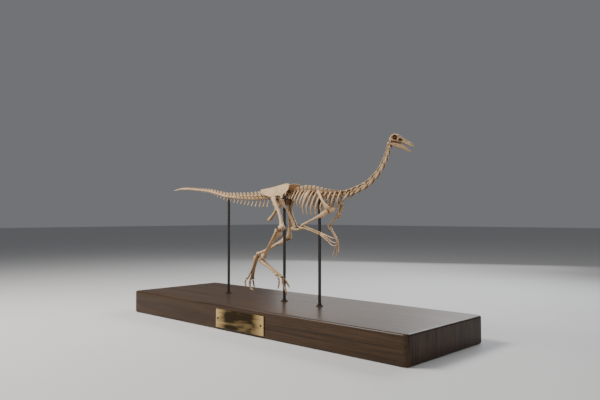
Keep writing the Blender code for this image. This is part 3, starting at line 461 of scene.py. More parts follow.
def baked(obj):
    """Turns the object with its modifiers into a plain mesh, under the same name."""
    bpy.context.view_layer.update()
    mesh = bpy.data.meshes.new_from_object(obj.evaluated_get(bpy.context.evaluated_depsgraph_get()))
    name = obj.name
    drop(obj)
    mesh.name = name
    return linked(name, mesh)


def smoothed(obj):
    obj.data.polygons.foreach_set("use_smooth", [True] * len(obj.data.polygons))
    return obj


def settle(obj, node_names, *finish_names):
    """Gives a finished piece its materials, smooth shading and its body, and hides the imported parts of the
    nodes it stands for.
    """
    obj.data.materials.clear()
    for name in finish_names:
        obj.data.materials.append(finish(name))
    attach(smoothed(obj), BODY)
    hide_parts(*node_names)


def fuse(name, shapes, voxel, relax, keep=1.0):
    """Joins overlapping closed shapes into one rounded skin and keeps a part of its faces."""
    whole = bmesh.new()
    for shape in shapes:
        bmesh.ops.recalc_face_normals(shape, faces=shape.faces)
        mesh = mesh_of(name, shape)
        whole.from_mesh(mesh)
        bpy.data.meshes.remove(mesh)
    return reskin(linked(name, mesh_of(name, whole)), voxel, relax, keep)


def fused_bone(node_name, kind, shapes, voxel, relax):
    """One node's bone, fused from its shapes."""
    settle(fuse(f"{node_name}_{kind}", shapes, voxel, relax), [node_name], "bone")


def reskin(obj, voxel, relax, keep=1.0):
    """Covers an object's parts with one skin of cells, eases it and keeps a part of its faces."""
    skin = obj.modifiers.new("Skin", "REMESH")
    skin.mode = "VOXEL"
    skin.voxel_size = voxel
    ease = obj.modifiers.new("Relax", "SMOOTH")
    ease.factor = 0.5
    ease.iterations = relax
    if keep < 1.0:
        thin = obj.modifiers.new("Thin", "DECIMATE")
        thin.ratio = keep
    return baked(obj)


def fair(rows, steps=5):
    """More rows between the given ones, on smooth curves through them."""
    rows = [tuple(row) for row in rows]
    ends = [rows[0]] + rows + [rows[-1]]
    made = []
    for a, b, c, d in zip(ends, ends[1:], ends[2:], ends[3:]):
        for i in range(steps):
            t = i / steps
            w = (-t + 2 * t**2 - t**3, 2 - 5 * t**2 + 3 * t**3, t + 4 * t**2 - 3 * t**3, t**3 - t**2)
            made.append(tuple(sum(k * row[j] for k, row in zip(w, (a, b, c, d))) / 2 for j in range(len(a))))
    made.append(rows[-1])
    return made


def skinned(rings):
    """A closed shape over a row of rings."""
    shape = bmesh.new()
    rows = [[shape.verts.new(point) for point in ring] for ring in rings]
    count = len(rows[0])
    for low, high in zip(rows, rows[1:]):
        for i in range(count):
            j = (i + 1) % count
            shape.faces.new((low[i], low[j], high[j], high[i]))
    for row, at_start in ((rows[0], True), (rows[-1], False)):
        middle = shape.verts.new(sum((vert.co for vert in row), Vector()) / count)
        for i in range(count):
            j = (i + 1) % count
            shape.faces.new((row[j], row[i], middle) if at_start else (row[i], row[j], middle))
    return shape


def oval(centre, across, deep, half_across, half_deep, sides, square=1.0):
    """A ring of points; square below 1 flattens its sides."""
    points = []
    for i in range(sides):
        turn = 2.0 * math.pi * i / sides
        c, s = math.cos(turn), math.sin(turn)
        c = math.copysign(abs(c) ** square, c)
        s = math.copysign(abs(s) ** square, s)
        points.append(centre + across * (half_across * c) + deep * (half_deep * s))
    return points


LEAST_HALF_SIZE = 0.0006


def sweep(points, sizes, front, sides=14, steps=5, square=1.0):
    """A smooth closed body along a path; sizes gives (half across, half deep) at each point."""
    rows = fair([tuple(point) + tuple(size) for point, size in zip(points, sizes)], steps)
    centres = [Vector(row[:3]) for row in rows]
    front = Vector(front)
    rings = []
    last = len(centres) - 1
    for i, row in enumerate(rows):
        along = (centres[min(i + 1, last)] - centres[max(i - 1, 0)]).normalized()
        deep = (front - along * front.dot(along)).normalized()
        across, thick = (max(half, LEAST_HALF_SIZE) for half in row[3:])
        rings.append(oval(centres[i], deep.cross(along), deep, across, thick, sides, square))
    return skinned(rings)


def blob(centre, radii, axes=(AHEAD, ASIDE, UP), sides=14):
    """An ellipsoid; axes are three unit vectors."""
    shape = bmesh.new()
    bmesh.ops.create_uvsphere(shape, u_segments=sides, v_segments=sides // 2 + 2, radius=1.0)
    across, deep, along = axes
    for vert in shape.verts:
        x, y, z = vert.co
        vert.co = Vector(centre) + across * (x * radii[0]) + deep * (y * radii[1]) + along * (z * radii[2])
    return shape


def strut(start, end, start_size, end_size):
    """A straight tapered body."""
    start, end = Vector(start), Vector(end)
    middle = tuple((a + b) / 2 for a, b in zip(start_size, end_size))
    return sweep((start, start.lerp(end, 0.5), end), (start_size, middle, end_size), AHEAD, 12, 3)


class Bone:
    """A straight frame from one joint to the next, for shapes placed on a long bone."""

    def __init__(self, start, end, front):
        self.start, self.end = Vector(start), Vector(end)
        self.along = (self.end - self.start).normalized()
        front = Vector(front)
        self.deep = (front - self.along * front.dot(self.along)).normalized()
        self.across = self.deep.cross(self.along)

    def at(self, part, across=0.0, deep=0.0):
        return self.start.lerp(self.end, part) + self.across * across + self.deep * deep

    def shaft(self, profile, sides=18):
        """profile rows are (part, half across, half deep, shift forward)."""
        return skinned([oval(self.at(part, 0.0, shift), self.across, self.deep, half_across, half_deep, sides)
                        for part, half_across, half_deep, shift in fair(profile, 4)])

    def lump(self, part, across, deep, radii):
        """radii are across, deep and along the bone."""
        return blob(self.at(part, across, deep), radii, (self.across, self.deep, self.along))

    def lumps(self, part, across, deep, radii):
        """The same lump on both sides of the middle."""
        return [self.lump(part, way * across, deep, radii) for way in (1.0, -1.0)]


def mirrored(point, sign):
    return Vector((point[0], point[1] * sign, point[2]))


def one_side(points, sign):
    """Points given on the left, for the side of the sign."""
    return [mirrored(point, sign) for point in points]


def pair(points, *shape, **more):
    """A sweep given on the left and its mirror image."""
    return [sweep([(x, sign * y, z) for x, y, z in points], *shape, **more) for sign in SIDES.values()]


def mix(a, b, t):
    return a + (b - a) * max(0.0, min(1.0, t))


# ---------------------------------------------------------------- the column's line
class Column:
    """A smooth curve through COLUMN, read by its length from the skull."""

    STEPS = 12

    def __init__(self, controls):
        rows = fair([(x, z) for x, z in controls], self.STEPS)
        self.points = [Vector((x, 0.0, z)) for x, z in rows]
        self.lengths = [0.0]
        for a, b in zip(self.points, self.points[1:]):
            self.lengths.append(self.lengths[-1] + (b - a).length)

    def at(self, s):
        """The point, the direction towards the tail and the upward direction at length s."""
        i = 1
        while i < len(self.lengths) - 1 and self.lengths[i] < s:
            i += 1
        span = self.lengths[i] - self.lengths[i - 1]
        a, b = self.points[i - 1], self.points[i]
        before = self.points[max(i - 3, 0)]
        after = self.points[min(i + 2, len(self.points) - 1)]
        along = (after - before).normalized()
        return a.lerp(b, (s - self.lengths[i - 1]) / span), along, ASIDE.cross(along)

    def length_at_x(self, x):
        for i in range(1, len(self.points)):
            if self.points[i].x <= x:
                part = (self.points[i - 1].x - x) / (self.points[i - 1].x - self.points[i].x)
                return self.lengths[i - 1] + part * (self.lengths[i] - self.lengths[i - 1])
        return self.lengths[-1]


def split(start, end, weights):
    total = sum(weights)
    joints = [start]
    for weight in weights:
        joints.append(joints[-1] + (end - start) * weight / total)
    return joints


column = Column(COLUMN)
NECK_JOINTS = split(
    SKULL_GAP, column.length_at_x(NECK_END_X),
    [0.45 + 0.6 * math.sin(math.pi * (i + 0.9) / 11.5) for i in range(NECK_VERTEBRAE)])
TRUNK_JOINTS = split(NECK_JOINTS[-1], column.length_at_x(TRUNK_END_X), [1.0] * TRUNK_VERTEBRAE)
SACRAL_JOINTS = split(TRUNK_JOINTS[-1], column.length_at_x(SACRUM_END_X), [1.0] * SACRAL_VERTEBRAE)
TAIL_JOINTS = split(
    SACRAL_JOINTS[-1], column.lengths[-1] - TAIL_TIP,
    [1.0 - TAIL_SHORTENING * (i / TAIL_VERTEBRAE) ** 2 for i in range(TAIL_VERTEBRAE)])


def along_part(joints, s):
    return (s - joints[0]) / (joints[-1] - joints[0])


def tail_radius(s):
    part = along_part(TAIL_JOINTS, s)
    for (a, low), (b, high) in zip(TAIL_RADII, TAIL_RADII[1:]):
        if part <= b:
            return mix(low, high, (part - a) / (b - a))
    return TAIL_RADII[-1][1]


# ---------------------------------------------------------------- bones in a row, by Geometry Nodes
def new_tree(name, inputs):
    """A Geometry Nodes tree with its geometry sockets and the named inputs (label, kind, default)."""
    tree = bpy.data.node_groups.new(name, "GeometryNodeTree")
    tree.interface.new_socket("Geometry", in_out="INPUT", socket_type="NodeSocketGeometry")
    for label, kind, value in inputs:
        socket = tree.interface.new_socket(label, in_out="INPUT", socket_type=f"NodeSocket{kind}")
        if value is not None:
            socket.default_value = value
    tree.interface.new_socket("Geometry", in_out="OUTPUT", socket_type="NodeSocketGeometry")
    return tree


def coated(tree, geometry, material):
    """Ends a tree with its geometry shaded smooth and given the material."""
    smooth = node(tree, "GeometryNodeSetShadeSmooth", Geometry=geometry).outputs["Geometry"]
    done = node(tree, "GeometryNodeSetMaterial", Geometry=smooth, Material=material).outputs["Geometry"]
    tree.links.new(done, tree.nodes.new("NodeGroupOutput").inputs[0])
    return tree


def row_tree():
    """Sets one bone on every point, turned and sized by the point's own values.

    Parts of the bone above "Arch height" are stretched by the point's "rise", parts out to the side
    beyond "Reach from" by its "reach".
    """
    name = "bones_in_a_row"
    if name in bpy.data.node_groups:
        return bpy.data.node_groups[name]
    tree = new_tree(name, (("Bone", "Object", None), ("Arch height", "Float", 1.0),
                           ("Reach from", "Float", 1.0), ("Finish", "Material", None)))

    def product(*values):
        return calculated(tree, "MULTIPLY", *values)

    def less(a, b):
        return calculated(tree, "SUBTRACT", a, b)

    def value_of(attribute, kind):
        made = node(tree, "GeometryNodeInputNamedAttribute", (("data_type", kind),), Name=attribute)
        return made.outputs["Attribute"]

    given = tree.nodes.new("NodeGroupInput").outputs
    turn = node(tree, "FunctionNodeEulerToRotation", Euler=value_of("turn", "FLOAT_VECTOR")).outputs[0]
    bone = node(tree, "GeometryNodeObjectInfo", Object=given["Bone"]).outputs["Geometry"]
    placed = node(tree, "GeometryNodeInstanceOnPoints", Points=given["Geometry"], Instance=bone,
                  Rotation=turn, Scale=value_of("size", "FLOAT_VECTOR")).outputs["Instances"]
    real = node(tree, "GeometryNodeRealizeInstances", Geometry=placed).outputs["Geometry"]
    place, size = (parts_of(tree, value_of(name, "FLOAT_VECTOR")) for name in ("place", "size"))
    over = calculated(tree, "MAXIMUM", less(place["Z"], given["Arch height"]), 0.0)
    lift = product(product(over, less(value_of("rise", "FLOAT"), 1.0)), size["Z"])
    aside = less(calculated(tree, "ABSOLUTE", place["Y"]), given["Reach from"])
    out = product(product(calculated(tree, "MAXIMUM", aside, 0.0), less(value_of("reach", "FLOAT"), 1.0)),
                  size["Y"])
    out = product(out, calculated(tree, "SIGN", place["Y"]))
    shift = node(tree, "ShaderNodeCombineXYZ", X=0.0, Y=out, Z=lift).outputs[0]
    turned = node(tree, "FunctionNodeRotateVector", Vector=shift, Rotation=turn).outputs[0]
    moved = node(tree, "GeometryNodeSetPosition", Geometry=real, Offset=turned).outputs["Geometry"]
    return coated(tree, moved, given["Finish"])


def grown(obj, tree, values):
    """Runs a Geometry Nodes tree on the object, its inputs set by their identifiers, and bakes it."""
    modifier = obj.modifiers.new("Grow", "NODES")
    modifier.node_group = tree
    sockets = {item.name: item.identifier for item in tree.interface.items_tree
               if item.item_type == "SOCKET" and item.in_out == "INPUT"}
    for name, value in values.items():
        modifier[sockets[name]] = value
    return baked(obj)


def normalised(template, length, radius):
    """Scales a bone made at real size to unit length and unit radius and keeps each point's place."""
    mesh = template.data
    for vert in mesh.vertices:
        vert.co = (vert.co.x / length, vert.co.y / radius, vert.co.z / radius)
    places = mesh.attributes.new("place", "FLOAT_VECTOR", "POINT")
    places.data.foreach_set("vector", [value for vert in mesh.vertices for value in vert.co])
    template.hide_render = True
    template.hide_viewport = True
    return template


def row_of_bones(name, template, rows, arch=NOWHERE, reach_from=NOWHERE):
    """rows are (centre, forward, up, length, half width, half height, rise, reach)."""
    mesh = bpy.data.meshes.new(name)
    mesh.from_pydata([row[0] for row in rows], [], [])
    values = {"turn": [], "size": [], "rise": [], "reach": []}
    for _, forward, up, length, wide, tall, rise, reach in rows:
        left = up.cross(forward).normalized()
        turn = Matrix((forward, left, forward.cross(left))).transposed().to_euler("XYZ")
        values["turn"] += list(turn)
        values["size"] += [length, wide, tall]
        values["rise"].append(rise)
        values["reach"].append(reach)
    for label, flat in values.items():
        vector = len(flat) == 3 * len(rows)
        attribute = mesh.attributes.new(label, "FLOAT_VECTOR" if vector else "FLOAT", "POINT")
        attribute.data.foreach_set("vector" if vector else "value", flat)
    return grown(linked(name, mesh), row_tree(), {
        "Bone": template, "Arch height": arch, "Reach from": reach_from, "Finish": finish("bone")})


def joined(name, objects):
    """One object from several."""
    whole = bmesh.new()
    for obj in objects:
        whole.from_mesh(obj.data)
    drop(*objects)
    return object_of(name, whole)


# ---------------------------------------------------------------- single vertebrae, +X forward, +Z up
def spool(length, radius, waist, tall):
    """A vertebral body: dished ends with a rim, pulled in at the waist."""
    half = length / 2
    flare = 0.5 + waist * 0.5
    rows = ((-half * 0.9, 0.62), (-half, 0.9), (-half * 0.94, 1.0), (-half * 0.62, flare), (0.0, waist),
            (half * 0.62, flare), (half * 0.94, 1.0), (half, 0.9), (half * 0.92, 0.6))
    rings = [oval(AHEAD * x, ASIDE, UP, radius * r, radius * r * tall, 18) for x, r in fair(rows, 3)]
    return skinned(rings)


# Each template's length, radius and spine height; an arch is counted in radii.
NECK_LENGTH, NECK_RADIUS, NECK_SPINE, NECK_ARCH = 0.09, 0.0165, 0.037, 1.0
TRUNK_LENGTH, TRUNK_RADIUS, TRUNK_SPINE, TRUNK_ARCH = 0.0565, 0.0225, 0.097, 1.7
SACRAL_LENGTH, SACRAL_RADIUS, SACRAL_SPINE = 0.0605, 0.022, 0.086
TAIL_LENGTH, TAIL_RADIUS, TAIL_SPINE, TAIL_ARCH = 0.059, 0.02, 0.088, 1.2
NECK_TALL = 1.12
LAST_SPINES = 6
WINGED = 9
WING_ROOT = 0.6
LAST_WING = 0.25

FRONT_RIB = ((0.934, 0.016, 1.446), (0.94, 0.034, 1.436), (0.926, 0.048, 1.408), (0.884, 0.046, 1.366))
FRONT_RIB_SIZES = ((0.0065, 0.007), (0.0072, 0.0085), (0.0062, 0.008), (0.0036, 0.0046))


def neck_vertebra():
    """Long and low, with overlapping joint processes and stout ribs below."""
    length, r = NECK_LENGTH, NECK_RADIUS
    shapes = [
        spool(length * 0.99, r, 0.72, 0.9),
        sweep(((-0.033, 0, 0.013), (-0.014, 0, 0.0185), (0.01, 0, 0.0175), (0.028, 0, 0.012)),
              ((0.014, 0.0085), (0.0115, 0.0105), (0.011, 0.01), (0.013, 0.008)), UP),
        sweep(((-0.028, 0, 0.022), (-0.008, 0, 0.0275), (0.014, 0, 0.0235)),
              ((0.0026, 0.0085), (0.0032, 0.01), (0.0024, 0.007)), UP, 12),
        *pair(((0.018, 0.01, 0.012), (0.036, 0.0155, 0.0145), (0.053, 0.0165, 0.0195)),
              ((0.0075, 0.007), (0.006, 0.0058), (0.0068, 0.0036)), UP, 12),
        *pair(((-0.014, 0.008, 0.017), (-0.032, 0.0145, 0.0235), (-0.051, 0.0155, 0.029)),
              ((0.0075, 0.007), (0.0066, 0.006), (0.0062, 0.004)), UP, 12),
        *pair(((0.036, 0.01, -0.006), (0.022, 0.018, -0.014), (-0.004, 0.021, -0.02),
               (-0.036, 0.021, -0.026)),
              ((0.0066, 0.0092), (0.0064, 0.0092), (0.0052, 0.0074), (0.0026, 0.0034)), UP, 12),
        *pair(((0.03, 0.01, 0.01), (0.024, 0.0205, 0.001), (0.02, 0.0195, -0.013)),
              ((0.007, 0.0038), (0.0065, 0.0034), (0.006, 0.0036)), AHEAD, 12),
    ]
    return normalised(fuse("neck_vertebra", shapes, 0.0014, 4, 0.55), length, r)


def trunk_vertebra():
    """Short body, upright square spine and side processes for the ribs."""
    length, r = TRUNK_LENGTH, TRUNK_RADIUS
    shapes = [
        spool(length * 0.97, r, 0.76, 0.95),
        sweep(((-0.019, 0, 0.024), (0.0, 0, 0.027), (0.018, 0, 0.024)),
              ((0.0125, 0.011), (0.0115, 0.013), (0.0125, 0.011)), UP, square=0.8),
        sweep(((0.0, 0, 0.03), (-0.001, 0, 0.055), (-0.003, 0, 0.08), (-0.004, 0, 0.091),
               (-0.005, 0, 0.0965)),
              ((0.0048, 0.0235), (0.0036, 0.0235), (0.0044, 0.0248), (0.0054, 0.0235), (0.0042, 0.014)),
              AHEAD, square=0.62),
        *pair(((-0.002, 0.008, 0.029), (-0.004, 0.03, 0.034), (-0.007, 0.052, 0.039)),
              ((0.0055, 0.0125), (0.004, 0.0095), (0.0045, 0.0075)), AHEAD, square=0.8),
        *pair(((0.014, 0.009, 0.031), (0.025, 0.012, 0.033), (0.035, 0.0125, 0.036)),
              ((0.0065, 0.005), (0.0055, 0.0038), (0.005, 0.0025)), UP, 12),
        *pair(((-0.012, 0.006, 0.035), (-0.022, 0.01, 0.04), (-0.032, 0.011, 0.043)),
              ((0.006, 0.0065), (0.005, 0.005), (0.0048, 0.0028)), UP, 12),
        *[strut((0.006, sign * 0.016, 0.006), (-0.006, sign * 0.036, 0.034),
                (0.0022, 0.0045), (0.0018, 0.0035)) for sign in SIDES.values()],
    ]
    return normalised(fuse("trunk_vertebra", shapes, 0.0017, 5, 0.42), length, r)


def sacral_vertebra():
    """Spine blade and wide side struts that reach the hip bones."""
    length, r = SACRAL_LENGTH, SACRAL_RADIUS
    shapes = [
        spool(length * 1.04, r, 0.8, 1.0),
        sweep(((-0.022, 0, 0.022), (0.0, 0, 0.026), (0.022, 0, 0.022)),
              ((0.011, 0.012), (0.01, 0.013), (0.011, 0.012)), UP),
        sweep(((0.0, 0, 0.028), (0.0, 0, 0.058), (0.0, 0, 0.084)),
              ((0.0056, 0.03), (0.004, 0.0295), (0.0054, 0.031)), AHEAD, square=0.6),
        *pair(((0.004, 0.012, 0.006), (0.0, 0.036, 0.012), (-0.004, 0.062, 0.016)),
              ((0.013, 0.015), (0.0075, 0.01), (0.016, 0.015)), AHEAD),
        *pair(((0.0, 0.006, 0.03), (-0.002, 0.028, 0.036), (-0.004, 0.044, 0.04)),
              ((0.004, 0.012), (0.003, 0.008), (0.0036, 0.01)), AHEAD, 12),
    ]
    return normalised(fuse("sacral_vertebra", shapes, 0.0018, 5, 0.5), length, r)


def tail_vertebra():
    """Body, thin backward spine and joint processes."""
    length, r = TAIL_LENGTH, TAIL_RADIUS
    shapes = [
        spool(length * 0.97, r, 0.8, 1.0),
        sweep(((-0.02, 0, 0.019), (0.0, 0, 0.023), (0.02, 0, 0.019)),
              ((0.0085, 0.0085), (0.008, 0.01), (0.0095, 0.008)), UP),
        sweep(((0.004, 0, 0.024), (-0.004, 0, 0.05), (-0.012, 0, 0.078), (-0.013, 0, 0.086)),
              ((0.0044, 0.023), (0.0034, 0.0185), (0.004, 0.016), (0.0044, 0.0125)), AHEAD, square=0.7),
        *pair(((0.012, 0.006, 0.024), (0.027, 0.0085, 0.028), (0.041, 0.0085, 0.032)),
              ((0.005, 0.0045), (0.0038, 0.0038), (0.0032, 0.0028)), UP, 12),
        *pair(((-0.012, 0.003, 0.03), (-0.024, 0.005, 0.033), (-0.033, 0.0052, 0.034)),
              ((0.004, 0.005), (0.0032, 0.0036), (0.003, 0.0026)), UP, 12),
    ]
    return normalised(fuse("tail_vertebra", shapes, 0.0015, 4, 0.4), length, r)


def tail_end_vertebra():
    """Long low body without a spine, its front processes laid over the bone before it."""
    length, r = TAIL_LENGTH, TAIL_RADIUS
    shapes = [
        spool(length * 0.99, r, 0.86, 1.04),
        sweep(((-0.026, 0, 0.0165), (0.0, 0, 0.018), (0.024, 0, 0.0165)),
              ((0.006, 0.006), (0.0055, 0.0068), (0.0075, 0.006)), UP),
        *pair(((0.01, 0.005, 0.018), (0.032, 0.007, 0.0205), (0.056, 0.0064, 0.0215)),
              ((0.0052, 0.0042), (0.004, 0.0034), (0.0024, 0.0022)), UP, 12),
    ]
    return normalised(fuse("tail_end_vertebra", shapes, 0.0015, 4, 0.4), length, r)


def tail_wing():
    """Side process of a front tail vertebra, unit reach along +Y."""
    shapes = pair(((0.002, 0.012, 0.008), (-0.006, 0.036, 0.012), (-0.014, 0.062, 0.013)),
                  ((0.005, 0.013), (0.0028, 0.0095), (0.0024, 0.0075)), AHEAD)
    return normalised(fuse("tail_wing", shapes, 0.0016, 3, 0.5), TAIL_LENGTH, TAIL_RADIUS)


CHEVRON_DROP = 0.1
CHEVRON_BEHIND = 0.01  # behind the joint in front
CHEVRON_LEAST = (0.78, 0.62)  # of its full length and width, however short it hangs


def chevron():
    """Haemal spine: two roots that meet round the tail's vessel and one flat blade below."""
    shapes = [
        *pair(((0.0, 0.008, -0.014), (0.0, 0.006, -0.024), (-0.003, 0.001, -0.034)),
              ((0.0035, 0.005), (0.0028, 0.0042), (0.003, 0.005)), AHEAD, 12),
        sweep(((-0.002, 0, -0.031), (-0.018, 0, -0.062), (-0.036, 0, -CHEVRON_DROP)),
              ((0.0042, 0.0085), (0.0036, 0.008), (0.004, 0.0105)), AHEAD, 12, square=0.8),
    ]
    return normalised(fuse("chevron", shapes, 0.0015, 3, 0.5), 1.0, 1.0)


def vertebra_rows(joints, radius, tall, rise, spine_top, arch):
    """Places of a run of vertebrae; rise(s) is the spine's height over the centre at length s.

    spine_top and arch are the heights of the template's spine and arch in its own radii.
    """
    rows = []
    for a, b in zip(joints, joints[1:]):
        s = (a + b) / 2
        point, along, up = column.at(s)
        r = radius(s)
        stretch = (rise(s) / r - arch) / (spine_top - arch)
        rows.append((point, -along, up, (b - a), r, r * tall, stretch, 1.0))
    return rows


def with_gaps(joints):
    return [joints[0] + JOINT_GAP] + joints[1:-1] + [joints[-1] - JOINT_GAP]


# Half widths and spine heights at the front and the rear of each run, and where the change is over.
NECK_RADII, NECK_RISES = (0.0125, 0.021), (0.0235, 0.035)
TRUNK_RADII, TRUNK_RISES, TRUNK_RISE_OVER = (0.021, 0.024), (0.041, 0.099), 1 / 1.75
TRUNK_FALL, TRUNK_FALL_FROM = 0.045, 0.76
SACRAL_RISES, SACRAL_RISE_OVER = (0.05, 0.086), 1 / 2.2
TAIL_RISES, TAIL_RISE_OVER, TAIL_LEAST_RISE = (0.09, 0.02), 0.7, 1.45
TAIL_DROPS, TAIL_DROP_OVER = (0.112, 0.024), 0.56


def neck_radius(s):
    return mix(*NECK_RADII, along_part(NECK_JOINTS, s))


def neck_rise(s):
    return mix(*NECK_RISES, along_part(NECK_JOINTS, s))


def trunk_radius(s):
    return mix(*TRUNK_RADII, along_part(TRUNK_JOINTS, s))


def trunk_rise(s):
    part = along_part(TRUNK_JOINTS, s)
    fall = mix(0.0, TRUNK_FALL, (part - TRUNK_FALL_FROM) / (1.0 - TRUNK_FALL_FROM))
    return mix(*TRUNK_RISES, part / TRUNK_RISE_OVER) - fall


def sacral_rise(s):
    return mix(*SACRAL_RISES, along_part(SACRAL_JOINTS, s) / SACRAL_RISE_OVER)


def tail_rise(s):
    rise = mix(*TAIL_RISES, along_part(TAIL_JOINTS, s) / TAIL_RISE_OVER)
    return max(rise, tail_radius(s) * TAIL_LEAST_RISE)


def tail_drop(s):
    return mix(*TAIL_DROPS, along_part(TAIL_JOINTS, s) / TAIL_DROP_OVER)


def build_neck():
    template = neck_vertebra()
    bounds = (0,) + NECK_SPLIT + (NECK_VERTEBRAE,)
    for name, first, last in zip(("neck_upper", "neck_middle", "neck_lower"), bounds, bounds[1:]):
        rows = vertebra_rows(with_gaps(NECK_JOINTS[first:last + 1]), neck_radius, NECK_TALL, neck_rise,
                             NECK_SPINE / NECK_RADIUS, NECK_ARCH)
        made = [row_of_bones(f"{name}_vertebrae", template, rows, NECK_ARCH)]
        if name == "neck_upper":
            ring = [blob((1.411, 0.0, 1.893), (0.0185, 0.02, 0.015)),
                    blob((1.401, 0.0, 1.896), (0.012, 0.017, 0.012))]
            made.append(fuse("atlas", ring, 0.0018, 3))
        if name == "neck_lower":
            short = [sweep(one_side(FRONT_RIB, sign), FRONT_RIB_SIZES, AHEAD) for sign in SIDES.values()]
            made.append(fuse("front_ribs", short, 0.0018, 3))
        settle(joined(f"{name}_vertebrae", made), [name], "bone")
    drop(template)


def build_trunk():
    template = trunk_vertebra()
    rows = vertebra_rows(with_gaps(TRUNK_JOINTS), trunk_radius, 1.0, trunk_rise,
                         TRUNK_SPINE / TRUNK_RADIUS, TRUNK_ARCH)
    trunk = row_of_bones("trunk_vertebrae", template, rows, TRUNK_ARCH)
    settle(trunk, ["ribcage_left", "ribcage_right"], "bone")
    drop(template)


def build_sacrum():
    template = sacral_vertebra()
    rows = vertebra_rows(with_gaps(SACRAL_JOINTS), lambda s: SACRAL_RADIUS, 1.0, sacral_rise,
                         SACRAL_SPINE / SACRAL_RADIUS, TRUNK_ARCH)
    settle(row_of_bones("sacral_vertebrae", template, rows, TRUNK_ARCH), ["sacrum"], "bone")
    drop(template)


def build_tail():
    vertebra, wing, haemal, last_kind = tail_vertebra(), tail_wing(), chevron(), tail_end_vertebra()
    bounds = (0,) + TAIL_SPLIT + (TAIL_VERTEBRAE,)
    for name, first, last in zip(("tail_base", "tail_middle", "tail_end"), bounds, bounds[1:]):
        joints = with_gaps(TAIL_JOINTS[first:last + 1])
        rows = vertebra_rows(joints, tail_radius, 1.0, tail_rise, TAIL_SPINE / TAIL_RADIUS, TAIL_ARCH)
        spined = rows[:LAST_SPINES] if name == "tail_end" else rows
        plain = [row[:6] + (1.0, 1.0) for row in rows[len(spined):]]
        made = [row_of_bones(name, vertebra, spined, TAIL_ARCH)]
        if plain:
            made.append(row_of_bones(name, last_kind, plain))
        if name == "tail_base":
            wings = [row[:6] + (1.0, mix(1.0, LAST_WING, i / WINGED)) for i, row in enumerate(rows[:WINGED])]
            made.append(row_of_bones("wings", wing, wings, reach_from=WING_ROOT))
        if name != "tail_end":
            hung = []
            for joint in joints[:-1]:
                s = joint + CHEVRON_BEHIND
                point, along, up = column.at(s)
                size = tail_drop(s) / CHEVRON_DROP
                long, wide = (max(size, least) for least in CHEVRON_LEAST)
                hung.append((point, -along, up, long, wide, size, 1.0, 1.0))
            made.append(row_of_bones("chevrons", haemal, hung))
        settle(joined(f"{name}_vertebrae", made), [name], "bone")
    drop(vertebra, wing, haemal, last_kind)


# ---------------------------------------------------------------- ribs, by Geometry Nodes
RIB_DEPTHS = (0.102, 0.142, 0.17, 0.19, 0.205, 0.212, 0.214, 0.21, 0.15, 0.135, 0.1, 0.075, 0.05)
RIB_HALF_WIDTHS = (0.056, 0.072, 0.086, 0.096, 0.106, 0.114, 0.118, 0.12, 0.112, 0.104, 0.092, 0.078, 0.06)
RIB_LINE = (  # part of the half width, lift over the vertebra, part of the depth, part of the lean, size
    (0.3, 0.036, 0.0, 0.02, 0.8), (0.55, 0.034, 0.0, 0.0, 1.0), (0.8, 0.006, 0.03, 0.1, 1.05),
    (0.97, 0.0, 0.33, 0.42, 1.0), (0.99, 0.0, 0.62, 0.76, 0.9), (0.72, 0.0, 0.98, 0.98, 0.68),
)
RIB_HEAD = ((0.018, 0.006, 0.55), (0.04, 0.022, 0.6), (0.06, 0.028, 0.7))
RIB_HEAD_AHEAD = 0.012
RIB_LEAN = 0.3
SHORT_RIB, FULL_RIB = 0.62, 0.15  # the least size of a rib, and the depth from which it is full
RIB_HALF_WIDTH = 0.0115
RIB_FLATNESS = 0.55
RIB_SPACING = 0.004
RIB_VOXEL = 0.0019
BROAD_RIB = 7
BROAD_PARTS = (1.6, 2.0, 2.6, 1.45, 1.0, 1.0)


def rib_tree():
    """Sweeps a flattened section along every curve; the curve's radius sets its size."""
    name = "ribs_along_lines"
    if name in bpy.data.node_groups:
        return bpy.data.node_groups[name]
    tree = new_tree(name, (("Half width", "Float", RIB_HALF_WIDTH), ("Flatness", "Float", RIB_FLATNESS),
                           ("Spacing", "Float", RIB_SPACING), ("Finish", "Material", None)))
    given = tree.nodes.new("NodeGroupInput").outputs
    even = node(tree, "GeometryNodeResampleCurve", (("mode", "LENGTH"),), Curve=given["Geometry"],
                Length=given["Spacing"]).outputs[0]
    level = node(tree, "GeometryNodeSetCurveNormal", (("mode", "FREE"),), Curve=even,
                 Normal=(1.0, 0.0, 0.0)).outputs[0]
    ring = node(tree, "GeometryNodeCurvePrimitiveCircle", Resolution=14,
                Radius=given["Half width"]).outputs["Curve"]
    flat = node(tree, "ShaderNodeCombineXYZ", X=1.0, Y=given["Flatness"], Z=1.0).outputs[0]
    section = node(tree, "GeometryNodeTransform", Geometry=ring, Scale=flat).outputs[0]
    skin = node(tree, "GeometryNodeCurveToMesh", Curve=level, Profile_Curve=section, Fill_Caps=True,
                Scale=node(tree, "GeometryNodeInputRadius").outputs[0]).outputs[0]
    return coated(tree, skin, given["Finish"])


def rib_lines(i, sign):
    """The two smooth lines of a rib, as rows of (x, y, z, size): its long shaft and its inner head."""
    point, along, _ = column.at((TRUNK_JOINTS[i] + TRUNK_JOINTS[i + 1]) / 2)
    half_width, depth = RIB_HALF_WIDTHS[i], RIB_DEPTHS[i]
    shaft = []
    for (out, lift, fall, lean, size), broad in zip(RIB_LINE, BROAD_PARTS):
        size *= broad if i == BROAD_RIB else 1.0
        spot = point + Vector((0.0, sign * half_width * out, lift - depth * fall))
        spot += along * (RIB_LEAN * depth * lean)
        shaft.append(tuple(spot) + (size * mix(SHORT_RIB, 1.0, depth / FULL_RIB),))
    ahead = point - along * RIB_HEAD_AHEAD
    head = [tuple(ahead + Vector((0.0, sign * out, lift))) + (size,)
            for out, lift, size in RIB_HEAD if out < half_width]
    return fair(shaft, 6), fair(head, 4)


